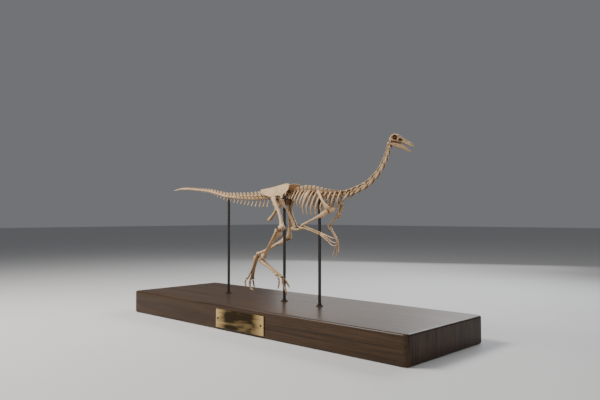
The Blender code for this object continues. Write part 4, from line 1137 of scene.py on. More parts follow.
def build_ribs(side):
    data = bpy.data.curves.new(f"rib_lines_{side}", "CURVE")
    data.dimensions = "3D"
    for i in range(TRUNK_VERTEBRAE):
        for line in rib_lines(i, SIDES[side]):
            spline = data.splines.new("POLY")
            spline.points.add(len(line) - 1)
            for point, (x, y, z, size) in zip(spline.points, line):
                point.co = (x, y, z, 1.0)
                point.radius = size
    ribs = grown(linked(f"ribs_{side}", data), rib_tree(),
                 {"Half width": RIB_HALF_WIDTH, "Flatness": RIB_FLATNESS, "Spacing": RIB_SPACING,
                  "Finish": finish("bone")})
    settle(reskin(ribs, RIB_VOXEL, 3), [f"ribcage_{side}"], "bone")


# ---------------------------------------------------------------- pelvis
ILIUM_SECTIONS = (  # x, bottom, top, distance of the lower edge from the midline
    (-0.325, 1.464, 1.506, 0.058), (-0.25, 1.438, 1.515, 0.063), (-0.16, 1.42, 1.525, 0.07),
    (-0.085, 1.416, 1.536, 0.077), (-0.02, 1.428, 1.547, 0.081), (0.045, 1.42, 1.556, 0.085),
    (0.085, 1.446, 1.56, 0.09), (0.135, 1.466, 1.557, 0.099), (0.172, 1.492, 1.54, 0.107),
)
ILIUM_LEAN = 0.3
ILIUM_CREST_SIZES = ((0.004, 0.006), (0.006, 0.007), (0.007, 0.009), (0.01, 0.01), (0.007, 0.008),
                     (0.005, 0.005))
PUBIC_PEDUNCLE = ((0.046, 0.086, 1.444), (0.05, 0.086, 1.396))
ISCHIAL_PEDUNCLE = ((-0.078, 0.078, 1.44), (-0.072, 0.078, 1.396))
PUBIS_LINE = ((0.054, 0.084, 1.388), (0.058, 0.06, 1.338), (0.088, 0.026, 1.248), (0.145, 0.015, 1.15),
              (0.182, 0.016, 1.072))
PUBIS_SIZES = ((0.013, 0.024), (0.011, 0.015), (0.012, 0.014), (0.014, 0.015), (0.015, 0.021))
APRON_LINE = ((0.086, 0.014, 1.258), (0.132, 0.0085, 1.17), (0.176, 0.0085, 1.09))
FLANGE_LINE = ((0.05, 0.081, 1.398), (0.036, 0.076, 1.366), (0.046, 0.062, 1.332), (0.068, 0.044, 1.292))
BOOT_LINE = ((0.124, 0.012, 1.076), (0.142, 0.015, 1.065), (0.2, 0.015, 1.059), (0.248, 0.012, 1.062))
BOOT_SIZES = ((0.006, 0.007), (0.014, 0.014), (0.014, 0.015), (0.008, 0.009))
ISCHIUM_LINE = ((-0.068, 0.078, 1.384), (-0.082, 0.034, 1.338), (-0.124, 0.015, 1.268),
                (-0.18, 0.0125, 1.208), (-0.222, 0.012, 1.172), (-0.244, 0.011, 1.154))
ISCHIUM_SIZES = ((0.009, 0.018), (0.009, 0.014), (0.009, 0.013), (0.01, 0.013), (0.011, 0.018), (0.01, 0.013))
ISCHIUM_PLATE = ((-0.072, 0.074, 1.364), (-0.036, 0.068, 1.36), (0.0, 0.064, 1.354), (0.028, 0.062, 1.348))


def build_ilium(side, voxel):
    sign = SIDES[side]
    rings = []
    for x, bottom, top, out in fair(ILIUM_SECTIONS, 5):
        inner = out - (top - bottom) * ILIUM_LEAN
        middle = Vector((x, sign * (out + inner) / 2, (bottom + top) / 2))
        tall = Vector((0.0, sign * (inner - out), top - bottom))
        thin = tall.normalized().cross(AHEAD)
        rings.append(oval(middle, tall.normalized(), thin, tall.length / 2, 0.0058, 22, 0.75))
    shapes = [skinned(rings)]
    crest = [(x, out, bottom + 0.006) for x, bottom, top, out in ILIUM_SECTIONS[1:7]]
    shapes.append(sweep(one_side(crest, sign), ILIUM_CREST_SIZES, UP, 12))
    rim = [(x, out - (top - bottom) * ILIUM_LEAN, top - 0.004) for x, bottom, top, out in ILIUM_SECTIONS]
    shapes.append(sweep(one_side(rim, sign), [(0.0068, 0.005)] * len(rim), UP, 12))
    hook = ((0.124, 0.098, 1.485), (0.126, 0.101, 1.455), (0.114, 0.102, 1.426))
    shapes.append(sweep(one_side(hook, sign), ((0.005, 0.014), (0.005, 0.01), (0.004, 0.006)), AHEAD, 12))
    for foot, end in (PUBIC_PEDUNCLE, ISCHIAL_PEDUNCLE):
        shapes.append(strut(mirrored(foot, sign), mirrored(end, sign), (0.008, 0.03), (0.013, 0.017)))
    fused_bone(f"ilium_{side}", "blade", shapes, voxel, 5)


def build_pubis(side, voxel):
    sign = SIDES[side]
    shapes = [sweep(one_side(PUBIS_LINE, sign), PUBIS_SIZES, AHEAD, 18),
              sweep(one_side(BOOT_LINE, sign), BOOT_SIZES, UP, 16),
              sweep(one_side(APRON_LINE, sign), ((0.006, 0.007), (0.0074, 0.0125), (0.0074, 0.015)),
                    AHEAD, 14),
              sweep(one_side(FLANGE_LINE, sign),
                    ((0.0085, 0.028), (0.0062, 0.04), (0.0058, 0.036), (0.006, 0.016)), AHEAD, 16),
              blob(mirrored((0.16, 0.015, 1.078), sign), (0.034, 0.011, 0.016))]
    fused_bone(f"pubis_{side}", "shaft", shapes, voxel, 5)


def build_ischium(side, voxel):
    sign = SIDES[side]
    shapes = [sweep(one_side(ISCHIUM_LINE, sign), ISCHIUM_SIZES, (-1, 0, 0), 16),
              sweep(one_side(ISCHIUM_PLATE, sign),
                    ((0.0075, 0.028), (0.0056, 0.036), (0.0052, 0.036), (0.0046, 0.024)), UP, 14)]
    fused_bone(f"ischium_{side}", "shaft", shapes, voxel, 5)


# ---------------------------------------------------------------- hind legs
FEMUR_PROFILE = (
    (0.0, 0.014, 0.016, -0.002), (0.035, 0.019, 0.026, -0.003), (0.13, 0.02, 0.026, 0.0),
    (0.3, 0.0175, 0.0205, 0.01), (0.5, 0.0175, 0.0185, 0.016), (0.72, 0.018, 0.019, 0.014),
    (0.88, 0.027, 0.027, 0.006), (0.955, 0.033, 0.031, 0.002), (0.995, 0.026, 0.024, 0.0),
)
TIBIA_PROFILE = (
    (0.0, 0.028, 0.036, 0.002), (0.05, 0.032, 0.041, 0.004), (0.17, 0.022, 0.028, 0.004),
    (0.35, 0.0165, 0.0185, 0.0), (0.65, 0.0155, 0.016, 0.0), (0.86, 0.0225, 0.02, 0.0),
    (0.955, 0.034, 0.025, 0.0), (1.0, 0.028, 0.018, 0.0),
)
FEMUR_NECK_SIZES = ((0.015, 0.015), (0.0155, 0.0165), (0.02, 0.02), (0.0185, 0.0185), (0.011, 0.011))
KNEE_CLEARANCE = 0.036
FIBULA_AT = (-0.07, 0.14, 0.55, 0.84)
FIBULA_SIZES = ((0.0075, 0.019), (0.0068, 0.011), (0.0056, 0.0066), (0.0034, 0.0045))
METATARSAL_SIZES = ((0.0145, 0.027), (0.0125, 0.019), (0.0105, 0.0115), (0.011, 0.0115), (0.014, 0.014),
                    (0.012, 0.013))
METATARSAL_AT = (0.0, 0.14, 0.45, 0.75, 0.93, 0.99)
METATARSAL_SPREAD = (0.017, 0.0, -0.017)
TOE_RADII = (0.013, 0.0155, 0.013)
TOE_BONES = (3, 4, 4)


def build_femur(side, voxel):
    sign, leg = SIDES[side], LEGS[side]
    hip = mirrored(HIP, sign)
    top = hip + Vector((0.0, sign * TROCHANTER_OUT, 0.016))
    reach = (Vector(leg["knee"]) - top).normalized() * leg["knee_reach"]
    bone = Bone(top, Vector(leg["knee"]) + reach, leg["knee_faces"])
    inner = -1.0 if (leg["knee"][1] > 0) == (bone.across.y > 0) else 1.0
    path = [top + Vector((0.0, 0.0, -0.026)), hip + Vector((0, sign * 0.018, -0.004)), hip,
            hip - Vector((0.0, sign * 0.012, 0.0)), hip - Vector((0.0, sign * 0.018, 0.0))]
    shapes = [bone.shaft(FEMUR_PROFILE),
              sweep(path, FEMUR_NECK_SIZES, AHEAD, 16),
              blob(hip - Vector((0.0, sign * 0.002, 0.0)), (0.0205, 0.02, 0.0205)),
              bone.lump(0.025, 0.0, -0.006, (0.014, 0.026, 0.018)),
              bone.lump(0.075, -inner * 0.01, 0.018, (0.0075, 0.012, 0.026)),
              bone.lump(0.19, inner * 0.004, -0.013, (0.013, 0.014, 0.05)),
              bone.lump(0.33, inner * 0.008, -0.006, (0.006, 0.019, 0.034)),
              bone.lump(0.965, inner * 0.0185, -0.008, (0.0165, 0.03, 0.023)),
              bone.lump(0.965, -inner * 0.0185, -0.008, (0.0165, 0.031, 0.024)),
              bone.lump(0.945, -inner * 0.027, -0.02, (0.008, 0.011, 0.02)),
              bone.lump(0.95, inner * 0.02, 0.02, (0.011, 0.014, 0.026)),
              bone.lump(0.95, -inner * 0.02, 0.02, (0.011, 0.013, 0.024))]
    fused_bone(f"femur_{side}", "bone", shapes, voxel, 5)


def shin(leg):
    """The two ends of the tibia."""
    knee, ankle = Vector(leg["knee"]), Vector(leg["ankle"])
    along = (ankle - knee).normalized()
    return knee + along * KNEE_CLEARANCE + Vector(leg["shin_shift"]), ankle - along * leg["shin_clearance"]


def build_tibia(side, voxel):
    sign, leg = SIDES[side], LEGS[side]
    start, end = shin(leg)
    bone = Bone(start, end, (1, 0, 0.3))
    shapes = [
        bone.shaft(TIBIA_PROFILE),
        *bone.lumps(0.03, 0.015, -0.014, (0.0155, 0.024, 0.019)),
        bone.lump(0.04, 0.0, 0.036, (0.0095, 0.015, 0.032)),
        bone.lump(0.12, 0.0, 0.024, (0.007, 0.013, 0.04)),
        *bone.lumps(0.965, 0.019, 0.002, (0.0155, 0.0245, 0.022)),
        bone.lump(0.9, 0.004, 0.014, (0.011, 0.005, 0.026)),
        bone.lump(0.96, 0.0, -0.018, (0.024, 0.017, 0.018)),
    ]
    fused_bone(f"tibia_{side}", "bone", shapes, voxel, 5)
    along = (end - start).normalized()
    out = Vector((0.0, sign, 0.0))
    out = (out - along * out.dot(along)).normalized()
    path = [start.lerp(end, part) + out * reach for part, reach in zip(FIBULA_AT, leg["fibula_out"])]
    splint = [sweep(path, FIBULA_SIZES, out.cross(along), 14),
              blob(path[0] + along * 0.004, (0.0078, 0.02, 0.009), (out, out.cross(along), along))]
    fused_bone(f"fibula_{side}", "bone", splint, voxel * 0.7, 3)


def build_metatarsus(side, voxel):
    sign, leg = SIDES[side], LEGS[side]
    ankle = Vector(leg["ankle"])
    middle = Vector(leg["foot"][1])
    along = (middle - ankle).normalized()
    across = (ASIDE - along * along.y).normalized()
    front = along.cross(across)
    start = ankle + along * leg["heel_clearance"] + front * leg["heel_shift"]
    shapes = []
    for spread, foot in zip(METATARSAL_SPREAD, leg["foot"]):
        from_ankle = start - across * (spread * sign)
        from_knuckle = Vector(foot) - along * 0.012
        beside = middle - along * 0.012 - across * (spread * sign * 1.1)
        path = []
        for part in METATARSAL_AT:
            straight = from_ankle.lerp(beside, part)
            path.append(straight.lerp(from_knuckle, mix(0.0, 1.0, (part - 0.55) / 0.38)))
        shapes.append(sweep(path, METATARSAL_SIZES, front, 16))
        for half in (-1.0, 1.0):
            shapes.append(blob(path[-1] - along * 0.007 + across * (half * 0.0066), (0.0068, 0.015, 0.0135),
                               (across, front, along)))
    if leg["heel"]:
        shapes.append(blob(ankle + Vector(leg["heel"]), (0.03, 0.022, 0.019), (across, front, along)))
    shapes.append(blob(start + along * 0.004, (0.028, 0.025, 0.013), (across, front, along)))
    fused_bone(f"metatarsus_{side}", "bones", shapes, voxel * 0.85, 4)


# ---------------------------------------------------------------- finger and toe bones
DIGIT_TAPER = 0.8
DIGIT_FILL = 0.995
KNUCKLE_GAP = 0.006
TOE_CLAW_PART = 0.3
FINGER_CLAW_PART = 0.32
FINGER_BEND = 0.1


def phalanx():
    """A spool with a grooved far end, unit length along +X from 0, unit radius."""
    length, r = 0.04, 0.013
    shapes = [
        sweep(((0.001, 0, 0), (0.006, 0, 0), (0.02, 0, 0.0005), (0.033, 0, 0), (0.039, 0, -0.0005)),
              ((0.01, 0.011), (0.0122, 0.0128), (0.009, 0.009), (0.0104, 0.01), (0.0078, 0.0078)), UP, 16),
        *[blob((0.0335, sign * 0.0062, -0.0004), (0.0068, 0.0052, 0.0105)) for sign in SIDES.values()],
    ]
    return normalised(fuse("phalanx", shapes, 0.0012, 3, 0.6), length, r)


def claw():
    """A long tapering hoof-like claw that curves down."""
    length, r = 0.04, 0.013
    shapes = [
        sweep(((0.001, 0, 0), (0.007, 0, 0.0), (0.02, 0, -0.0005), (0.032, 0, -0.004), (0.0405, 0, -0.009)),
              ((0.0095, 0.0115), (0.0105, 0.012), (0.0078, 0.0085), (0.0046, 0.0048), (0.0012, 0.0012)),
              UP, 16),
        blob((0.006, 0, -0.008), (0.006, 0.006, 0.005)),
    ]
    return normalised(fuse("claw", shapes, 0.0011, 2, 0.6), length, r)


def digit_rows(points, radius, bones, claw_part, palm):
    """Places of a digit's bones; palm is the side that its claw curls to."""
    path = [Vector(row) for row in fair([tuple(point) for point in points], 6)]
    lengths = [0.0]
    for a, b in zip(path, path[1:]):
        lengths.append(lengths[-1] + (b - a).length)

    def at(part):
        s = part * lengths[-1]
        for i in range(1, len(path)):
            if s <= lengths[i] or i == len(path) - 1:
                return path[i - 1].lerp(path[i], (s - lengths[i - 1]) / (lengths[i] - lengths[i - 1]))

    stops = [(1.0 - claw_part) * i / (bones - 1) for i in range(bones)] + [1.0]
    rows = []
    for a, b in zip(stops, stops[1:]):
        start, end = at(a), at(b)
        forward = (end - start).normalized()
        up = (forward * palm.dot(forward) - palm).normalized()
        size = radius * mix(1.0, DIGIT_TAPER, a)
        rows.append((start, forward, up, (end - start).length * DIGIT_FILL, size, size, 1.0, 1.0))
    return rows


def build_toes(side):
    leg = LEGS[side]
    bone, hoof = phalanx(), claw()
    middle = Vector(leg["foot"][1])
    along = (middle - Vector(leg["ankle"])).normalized()
    across = (ASIDE - along * along.y).normalized()
    for number, (foot, toe, radius, bones) in enumerate(zip(leg["foot"], leg["toes"], TOE_RADII, TOE_BONES)):
        base = Vector(foot)
        first = base + (Vector(toe[0]) - base).normalized() * KNUCKLE_GAP
        rows = digit_rows([first] + list(toe), radius, bones, TOE_CLAW_PART, -along.cross(across))
        made = [row_of_bones("toe_bones", bone, rows[:-1]), row_of_bones("toe_claw", hoof, rows[-1:])]
        settle(joined(f"toe_{number + 2}_{side}_bones", made), [f"toe_{number + 2}_{side}"], "bone")
    drop(bone, hoof)


# ---------------------------------------------------------------- arms
BLADE_SIZES = ((0.021, 0.0042), (0.015, 0.005), (0.019, 0.0065))
CORACOID_SIZES = ((0.038, 0.01), (0.026, 0.008), (0.009, 0.0055))
HUMERUS_PROFILE = (
    (0.0, 0.012, 0.019, 0.0), (0.05, 0.0145, 0.0265, 0.0), (0.16, 0.013, 0.025, 0.002),
    (0.34, 0.0115, 0.016, 0.001), (0.6, 0.0115, 0.012, 0.0), (0.88, 0.013, 0.013, 0.0),
    (0.96, 0.017, 0.0145, 0.0), (1.0, 0.012, 0.01, 0.0),
)
SHOULDER_CLEARANCE = 0.006
ELBOW_CLEARANCE = 0.014
FOREARM_HALF_GAP = 0.0076
ULNA_SIZES = ((0.0095, 0.0105), (0.012, 0.013), (0.009, 0.0095), (0.008, 0.0085), (0.0092, 0.0098))
ULNA_AT = (-0.15, 0.04, 0.25, 0.8, 0.95)
OLECRANON_SHIFT = (-0.014, -0.008, 0.0, 0.0, 0.0)
RADIUS_SIZES = ((0.0085, 0.009), (0.0075, 0.008), (0.0072, 0.0076), (0.009, 0.0094))
RADIUS_AT = (0.04, 0.25, 0.75, 0.95)
FOREARM = (("ulna", ULNA_AT, ULNA_SIZES, -FOREARM_HALF_GAP, OLECRANON_SHIFT),
           ("radius", RADIUS_AT, RADIUS_SIZES, FOREARM_HALF_GAP, (0.0,) * 4))
METACARPAL_SIZES = ((0.009, 0.01), (0.0062, 0.0067), (0.0062, 0.0062), (0.0078, 0.0078))
METACARPAL_AT = (0.0, 0.3, 0.75, 1.0)
WRIST_CLEARANCE = 0.012
WRIST_SPREAD = (0.01, 0.0, -0.01)
FINGER_RADIUS = 0.0076
FINGER_BONES = (2, 3, 3)


def build_scapula(side, voxel):
    sign, arm = SIDES[side], ARMS[side]
    line = [Vector(point) for point in arm["blade"] + arm["coracoid"]]
    shapes = [sweep(line, BLADE_SIZES + CORACOID_SIZES, (0, sign, 0.1), 20, square=0.9)]
    shapes.append(blob(line[2].lerp(line[3], 0.35) + AHEAD * 0.014 + UP * 0.006, (0.018, 0.008, 0.012)))
    shapes.append(blob(line[3] - AHEAD * 0.02 + Vector((0, sign * 0.006, -0.02)), (0.018, 0.01, 0.017)))
    fused_bone(f"scapula_{side}", "plate", shapes, voxel * 0.8, 4)


def build_humerus(side, voxel):
    arm = ARMS[side]
    shoulder, elbow = Vector(arm["shoulder"]), Vector(arm["elbow"])
    along = (elbow - shoulder).normalized()
    bone = Bone(shoulder + along * SHOULDER_CLEARANCE, elbow, (0.3, 0, -1.0))
    shapes = [
        bone.shaft(HUMERUS_PROFILE, 16),
        bone.lump(-0.01, 0.0, -0.004, arm["ball"]),
        bone.lump(0.15, 0.002, 0.022, (0.0065, 0.0105, 0.034)),
        *bone.lumps(0.975, 0.009, 0.003, (0.01, 0.0135, 0.012)),
    ]
    fused_bone(f"humerus_{side}", "bone", shapes, voxel * 0.75, 4)


def build_forearm(side, voxel):
    arm = ARMS[side]
    elbow, wrist = Vector(arm["elbow"]), Vector(arm["wrist"])
    along = (wrist - elbow).normalized()
    upper = (Vector(arm["shoulder"]) - elbow).normalized()
    toward = (upper - along * upper.dot(along)).normalized()
    start = elbow + along * ELBOW_CLEARANCE
    for name, parts, sizes, shift, extra in FOREARM:
        path = [start.lerp(wrist, part) + toward * (shift + more) for part, more in zip(parts, extra)]
        fused_bone(f"{name}_{side}", "bone", [sweep(path, sizes, toward, 16)], voxel * 0.7, 3)


def build_hand(side, voxel):
    arm = ARMS[side]
    wrist = Vector(arm["wrist"])
    middle = Vector(arm["knuckles"][1])
    along = (middle - wrist).normalized()
    spread_way = Vector(arm["knuckles"][0]) - Vector(arm["knuckles"][2])
    spread_way = (spread_way - along * spread_way.dot(along)).normalized()
    palm = along.cross(spread_way)
    shapes = []
    for spread, knuckle in zip(WRIST_SPREAD, arm["knuckles"]):
        start = wrist + along * WRIST_CLEARANCE + spread_way * spread
        path = [start.lerp(Vector(knuckle), part) for part in METACARPAL_AT]
        shapes.append(sweep(path, METACARPAL_SIZES, spread_way, 14))
        way = (Vector(knuckle) - start).normalized()
        for half in (-1.0, 1.0):
            shapes.append(blob(Vector(knuckle) - way * 0.004 + spread_way * (half * 0.004),
                               (0.0042, 0.0085, 0.0075), (spread_way, palm, way)))
        shapes.append(blob(start + along * 0.003, (0.0085, 0.0095, 0.0065), (spread_way, palm, along)))
        carpal = wrist + along * (WRIST_CLEARANCE * 0.1) + spread_way * (spread * 0.85)
        shapes.append(blob(carpal, (0.0078, 0.0088, WRIST_CLEARANCE * 0.95), (spread_way, palm, along)))
    fused_bone(f"metacarpals_{side}", "bones", shapes, voxel * 0.6, 3)
    bone, hook = phalanx(), claw()
    for number, (knuckle, tip, bones) in enumerate(zip(arm["knuckles"], arm["tips"], FINGER_BONES)):
        base, tip = Vector(knuckle), Vector(tip)
        way = (tip - base).normalized()
        bend = (tip - base).length * FINGER_BEND
        toward = (wrist - base).normalized()
        curl = (toward - way * toward.dot(way)).normalized()
        first = base + way * KNUCKLE_GAP
        points = [first, first.lerp(tip, 0.5) - curl * bend, tip]
        rows = digit_rows(points, FINGER_RADIUS, bones, FINGER_CLAW_PART, curl)
        made = [row_of_bones("finger_bones", bone, rows[:-1]), row_of_bones("finger_claw", hook, rows[-1:])]
        settle(joined(f"finger_{number + 1}_{side}_bones", made), [f"finger_{number + 1}_{side}"], "bone")
    drop(bone, hook)


# ---------------------------------------------------------------- skull, in the head's own frame
SKULL_PROFILE = (  # along the head, top, bottom, half width, squareness of the section
    (-0.012, 0.04, 0.014, 0.014, 1.0), (-0.002, 0.066, 0.006, 0.03, 0.9), (0.014, 0.083, 0.004, 0.04, 0.8),
    (0.034, 0.088, 0.01, 0.0425, 0.75), (0.056, 0.087, 0.019, 0.041, 0.75), (0.08, 0.08, 0.022, 0.035, 0.75),
    (0.11, 0.069, 0.018, 0.0275, 0.8), (0.148, 0.058, 0.012, 0.021, 0.85), (0.18, 0.048, 0.009, 0.0175, 0.9),
    (0.21, 0.039, 0.008, 0.0145, 0.95), (0.225, 0.029, 0.012, 0.0075, 1.0),
)
JAW_PROFILE = (  # along the head, height of the middle, half height, distance from the midline
    (0.012, -0.018, 0.007, 0.036), (0.045, -0.014, 0.0155, 0.035), (0.085, -0.015, 0.0205, 0.029),
    (0.13, -0.017, 0.019, 0.021), (0.17, -0.026, 0.014, 0.013), (0.203, -0.036, 0.0105, 0.006),
)
JAW_THICKNESS = 0.0042
SKULL_HOLES = (  # centre on the left, radii, sides
    ((0.0385, 0.04, 0.0515), (0.0265, 0.033, 0.023), 24),  # eye
    ((0.005, 0.044, 0.04), (0.0062, 0.022, 0.017), 20),  # behind the eye, low
    ((0.013, 0.02, 0.09), (0.012, 0.011, 0.02), 18),  # behind the eye, on top
    ((0.0925, 0.024, 0.0435), (0.0195, 0.022, 0.0115), 24),  # in front of the eye
    ((0.109, 0.03, 0.0425), (0.008, 0.02, 0.0062), 16),
    ((0.2, 0.018, 0.0295), (0.01, 0.012, 0.0044), 16),  # nostril
    ((0.06, 0.022, 0.006), (0.03, 0.013, 0.019), 18),  # palate
)
SKULL_MIDDLE_HOLES = (
    ((0.125, 0.0, 0.002), (0.075, 0.013, 0.019), 20),  # roof of the mouth
    ((-0.014, 0.0, 0.037), (0.014, 0.0065, 0.0065), 14),  # where the spinal cord leaves
)
SKULL_STRIPS = (  # points on the left, sizes, front, sides
    (((0.006, 0.023, 0.01), (0.04, 0.0215, 0.0035), (0.078, 0.0175, 0.006), (0.104, 0.013, 0.013)),
     ((0.0026, 0.005), (0.0026, 0.0095), (0.0026, 0.009), (0.002, 0.004)), UP, 12),  # palate
    (((0.058, 0.037, 0.076), (0.064, 0.036, 0.055), (0.068, 0.035, 0.026)),
     ((0.0014, 0.0016), (0.003, 0.0036), (0.004, 0.005)), AHEAD, 10),  # bar in front of the eye
    (((0.0155, 0.038, 0.074), (0.0125, 0.039, 0.05), (0.02, 0.039, 0.024)),
     ((0.0014, 0.0016), (0.0026, 0.0034), (0.0036, 0.005)), AHEAD, 10),  # bar behind the eye
    (((0.006, 0.035, 0.022), (0.03, 0.0395, 0.02), (0.066, 0.035, 0.0235), (0.105, 0.027, 0.022)),
     ((0.003, 0.0044), (0.003, 0.004), (0.0034, 0.0045), (0.001, 0.0012)), UP, 10),  # cheek
    (((-0.002, 0.027, 0.06), (0.001, 0.033, 0.044), (0.005, 0.035, 0.02), (0.011, 0.0355, -0.002),
      (0.013, 0.035, -0.0085)),
     ((0.0022, 0.0026), (0.005, 0.006), (0.0044, 0.0052), (0.0052, 0.0058), (0.002, 0.0024)),
     AHEAD, 12),  # jaw joint
    (((0.095, 0.0245, 0.066), (0.125, 0.0185, 0.06), (0.16, 0.013, 0.052)),
     ((0.0025, 0.0028), (0.0024, 0.0026), (0.002, 0.0022)), UP, 10),  # edge of the snout
)


def head_matrix():
    turn = Matrix.Rotation(HEAD_TURN, 4, "Z") @ Matrix.Rotation(HEAD_PITCH, 4, "Y")
    return Matrix.Translation(HEAD_ORIGIN) @ turn


def carve(obj, cutters):
    """Takes the cutters out of the object."""
    for shape in cutters:
        cutter = object_of("cutter", shape)
        step = obj.modifiers.new("Carve", "BOOLEAN")
        step.operation = "DIFFERENCE"
        step.solver = "EXACT"
        step.object = cutter
        obj = baked(obj)
        drop(cutter)
    return obj


def build_skull(voxel):
    rings = [oval(Vector((x, 0.0, (top + bottom) / 2)), ASIDE, UP, half, (top - bottom) / 2, 28, square)
             for x, top, bottom, half, square in fair(SKULL_PROFILE, 4)]
    skull = object_of("skull_bones", skinned(rings))
    cutters = [blob((x, sign * y, z), radii, sides=sides)
               for sign in SIDES.values() for (x, y, z), radii, sides in SKULL_HOLES]
    cutters += [blob(centre, radii, sides=sides) for centre, radii, sides in SKULL_MIDDLE_HOLES]
    skull = carve(skull, cutters)
    extra = bmesh.new()
    extra.from_mesh(skull.data)
    drop(skull)
    shapes = [extra, blob((-0.006, 0.0, 0.021), (0.01, 0.0065, 0.0065))]
    for points, sizes, front, sides in SKULL_STRIPS:
        shapes += pair(points, sizes, front, sides)
    turns = [math.radians(20 * i) for i in range(1, 11)]
    ring = [(0.0385 + 0.028 * math.cos(t), 0.0395 + 0.001 * math.cos(2 * t), 0.052 + 0.0235 * math.sin(t))
            for t in turns]
    shapes += pair(ring, [(0.0028, 0.003)] * len(ring), ASIDE, 10, 2)
    skull = fuse("skull_bones", shapes, voxel, 4)
    skull.data.transform(head_matrix())
    settle(skull, ["skull"], "bone")


def build_jaw(voxel):
    shapes = []
    for sign in SIDES.values():
        path = [(x, sign * out, z) for x, z, _, out in JAW_PROFILE] + [(0.213, sign * 0.002, -0.0375)]
        sizes = [(JAW_THICKNESS * (0.8 + 1.6 * half), half) for _, _, half, _ in JAW_PROFILE]
        sizes.append((0.0045, 0.008))
        shapes.append(sweep(path, sizes, UP, 16))
        shapes.append(blob((0.013, sign * 0.0355, -0.0165), (0.01, 0.0055, 0.007)))
    shapes.append(blob((0.196, 0.0, -0.033), (0.015, 0.01, 0.006)))
    jaw = fuse("lower_jaw_bones", shapes, voxel * 1.2, 3)
    cutters = [blob((0.074, sign * 0.0375, -0.015), (0.0185, 0.0058, 0.0056), sides=16)
               for sign in SIDES.values()]
    jaw = reskin(carve(jaw, cutters), voxel * 1.2, 2)
    jaw.data.transform(head_matrix())
    settle(jaw, ["lower_jaw"], "bone")


# ---------------------------------------------------------------- stand
LEVEL = 1e-6  # ends of an edge this close in height make it level
CRISP_FROM = math.radians(35.0)
PLATE_EDGE = 0.0008
SLOT_WIDTH = 0.0022
SLOT_TURN = math.radians(25.0)


def rounded_slab(length, width, height, corner, ease, z):
    """A slab with round upright corners and eased edges, its underside at z."""
    shape = bmesh.new()
    bmesh.ops.create_cube(shape, size=1.0)
    bmesh.ops.scale(shape, vec=(length, width, height), verts=shape.verts)
    bmesh.ops.translate(shape, vec=(0, 0, z + height / 2), verts=shape.verts)
    upright = [edge for edge in shape.edges if abs(edge.verts[0].co.z - edge.verts[1].co.z) > height / 2]
    bmesh.ops.bevel(shape, geom=upright, offset=corner, segments=14, profile=0.5, affect="EDGES")
    level = [edge for edge in shape.edges
             if abs(edge.verts[0].co.z - edge.verts[1].co.z) < LEVEL and len(edge.link_faces) == 2
             and abs(edge.link_faces[0].normal.dot(edge.link_faces[1].normal)) < 0.5]
    bmesh.ops.bevel(shape, geom=level, offset=ease, segments=5, profile=0.5, affect="EDGES")
    return shape


def weighted(obj):
    """Smooth shading with crisp edges, kept in the mesh."""
    obj.data.set_sharp_from_angle(angle=CRISP_FROM)
    step = obj.modifiers.new("Normals", "WEIGHTED_NORMAL")
    step.keep_sharp = True
    return baked(obj)


def build_base():
    low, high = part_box("stand_base")
    size = high - low
    look = stand_settings()
    slab = object_of("base_slab", rounded_slab(size.x, size.y, size.z, look.corner, look.ease, low.z))
    settle(weighted(smoothed(slab)), ["stand_base"], "walnut")


def build_plaque():
    low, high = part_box("stand_plaque")
    rim = stand_settings().rim
    # Inset from the edge, and part of the thickness.
    outline = ((0.0, 0.0), (0.0, 8.5 / 14), (rim * 0.35, 11.5 / 14), (rim, 13.2 / 14))
    shape = bmesh.new()
    rings = []
    for inset, out in outline:
        y = high.y - out * (high.y - low.y)
        left, right, bottom, top = low.x + inset, high.x - inset, low.z + inset, high.z - inset
        corners = (left, bottom), (right, bottom), (right, top), (left, top)
        rings.append([Vector((x, y, z)) for x, z in corners])
    rows = [[shape.verts.new(point) for point in ring] for ring in rings]
    for a, b in zip(rows, rows[1:]):
        for i in range(4):
            face = shape.faces.new((a[i], a[(i + 1) % 4], b[(i + 1) % 4], b[i]))
            face.material_index = 1
    shape.faces.new(rows[-1]).material_index = 0
    shape.faces.new(rows[0][::-1]).material_index = 1
    plate = object_of("plaque_plate", shape)
    bevel = smoothed(plate).modifiers.new("Bevel", "BEVEL")
    bevel.width = PLATE_EDGE
    bevel.segments = 2
    bevel.limit_method = "ANGLE"
    settle(weighted(baked(plate)), ["stand_plaque"], "brass", "bright_brass")


def lathe(profile, axis, centre, sides):
    """A turned body; profile rows are (height along the axis, radius)."""
    first = axis.orthogonal().normalized()
    second = axis.cross(first)
    rings = []
    for height, radius in profile:
        rings.append(oval(centre + axis * height, first, second, radius, radius, sides))
    return skinned(rings)


def build_screws():
    for side in SIDES:
        low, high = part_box(f"stand_screw_{side}")
        centre = (low + high) / 2
        centre.y = high.y
        r = (high.x - low.x) / 2
        tall = high.y - low.y
        head = lathe(((0.0, r), (tall * 0.25, r), (tall * 0.65, r * 0.88), (tall * 0.92, r * 0.6),
                      (tall, r * 0.3)), -ASIDE, centre, 32)
        screw = object_of(f"plaque_screw_{side}", head)
        slot = bmesh.new()
        bmesh.ops.create_cube(slot, size=1.0)
        bmesh.ops.scale(slot, vec=(r * 2.4, tall, SLOT_WIDTH), verts=slot.verts)
        bmesh.ops.rotate(slot, matrix=Matrix.Rotation(SLOT_TURN, 3, "Y"), verts=slot.verts)
        bmesh.ops.translate(slot, vec=(centre.x, low.y, centre.z), verts=slot.verts)
        settle(weighted(carve(screw, [slot])), [f"stand_screw_{side}"], "screw")


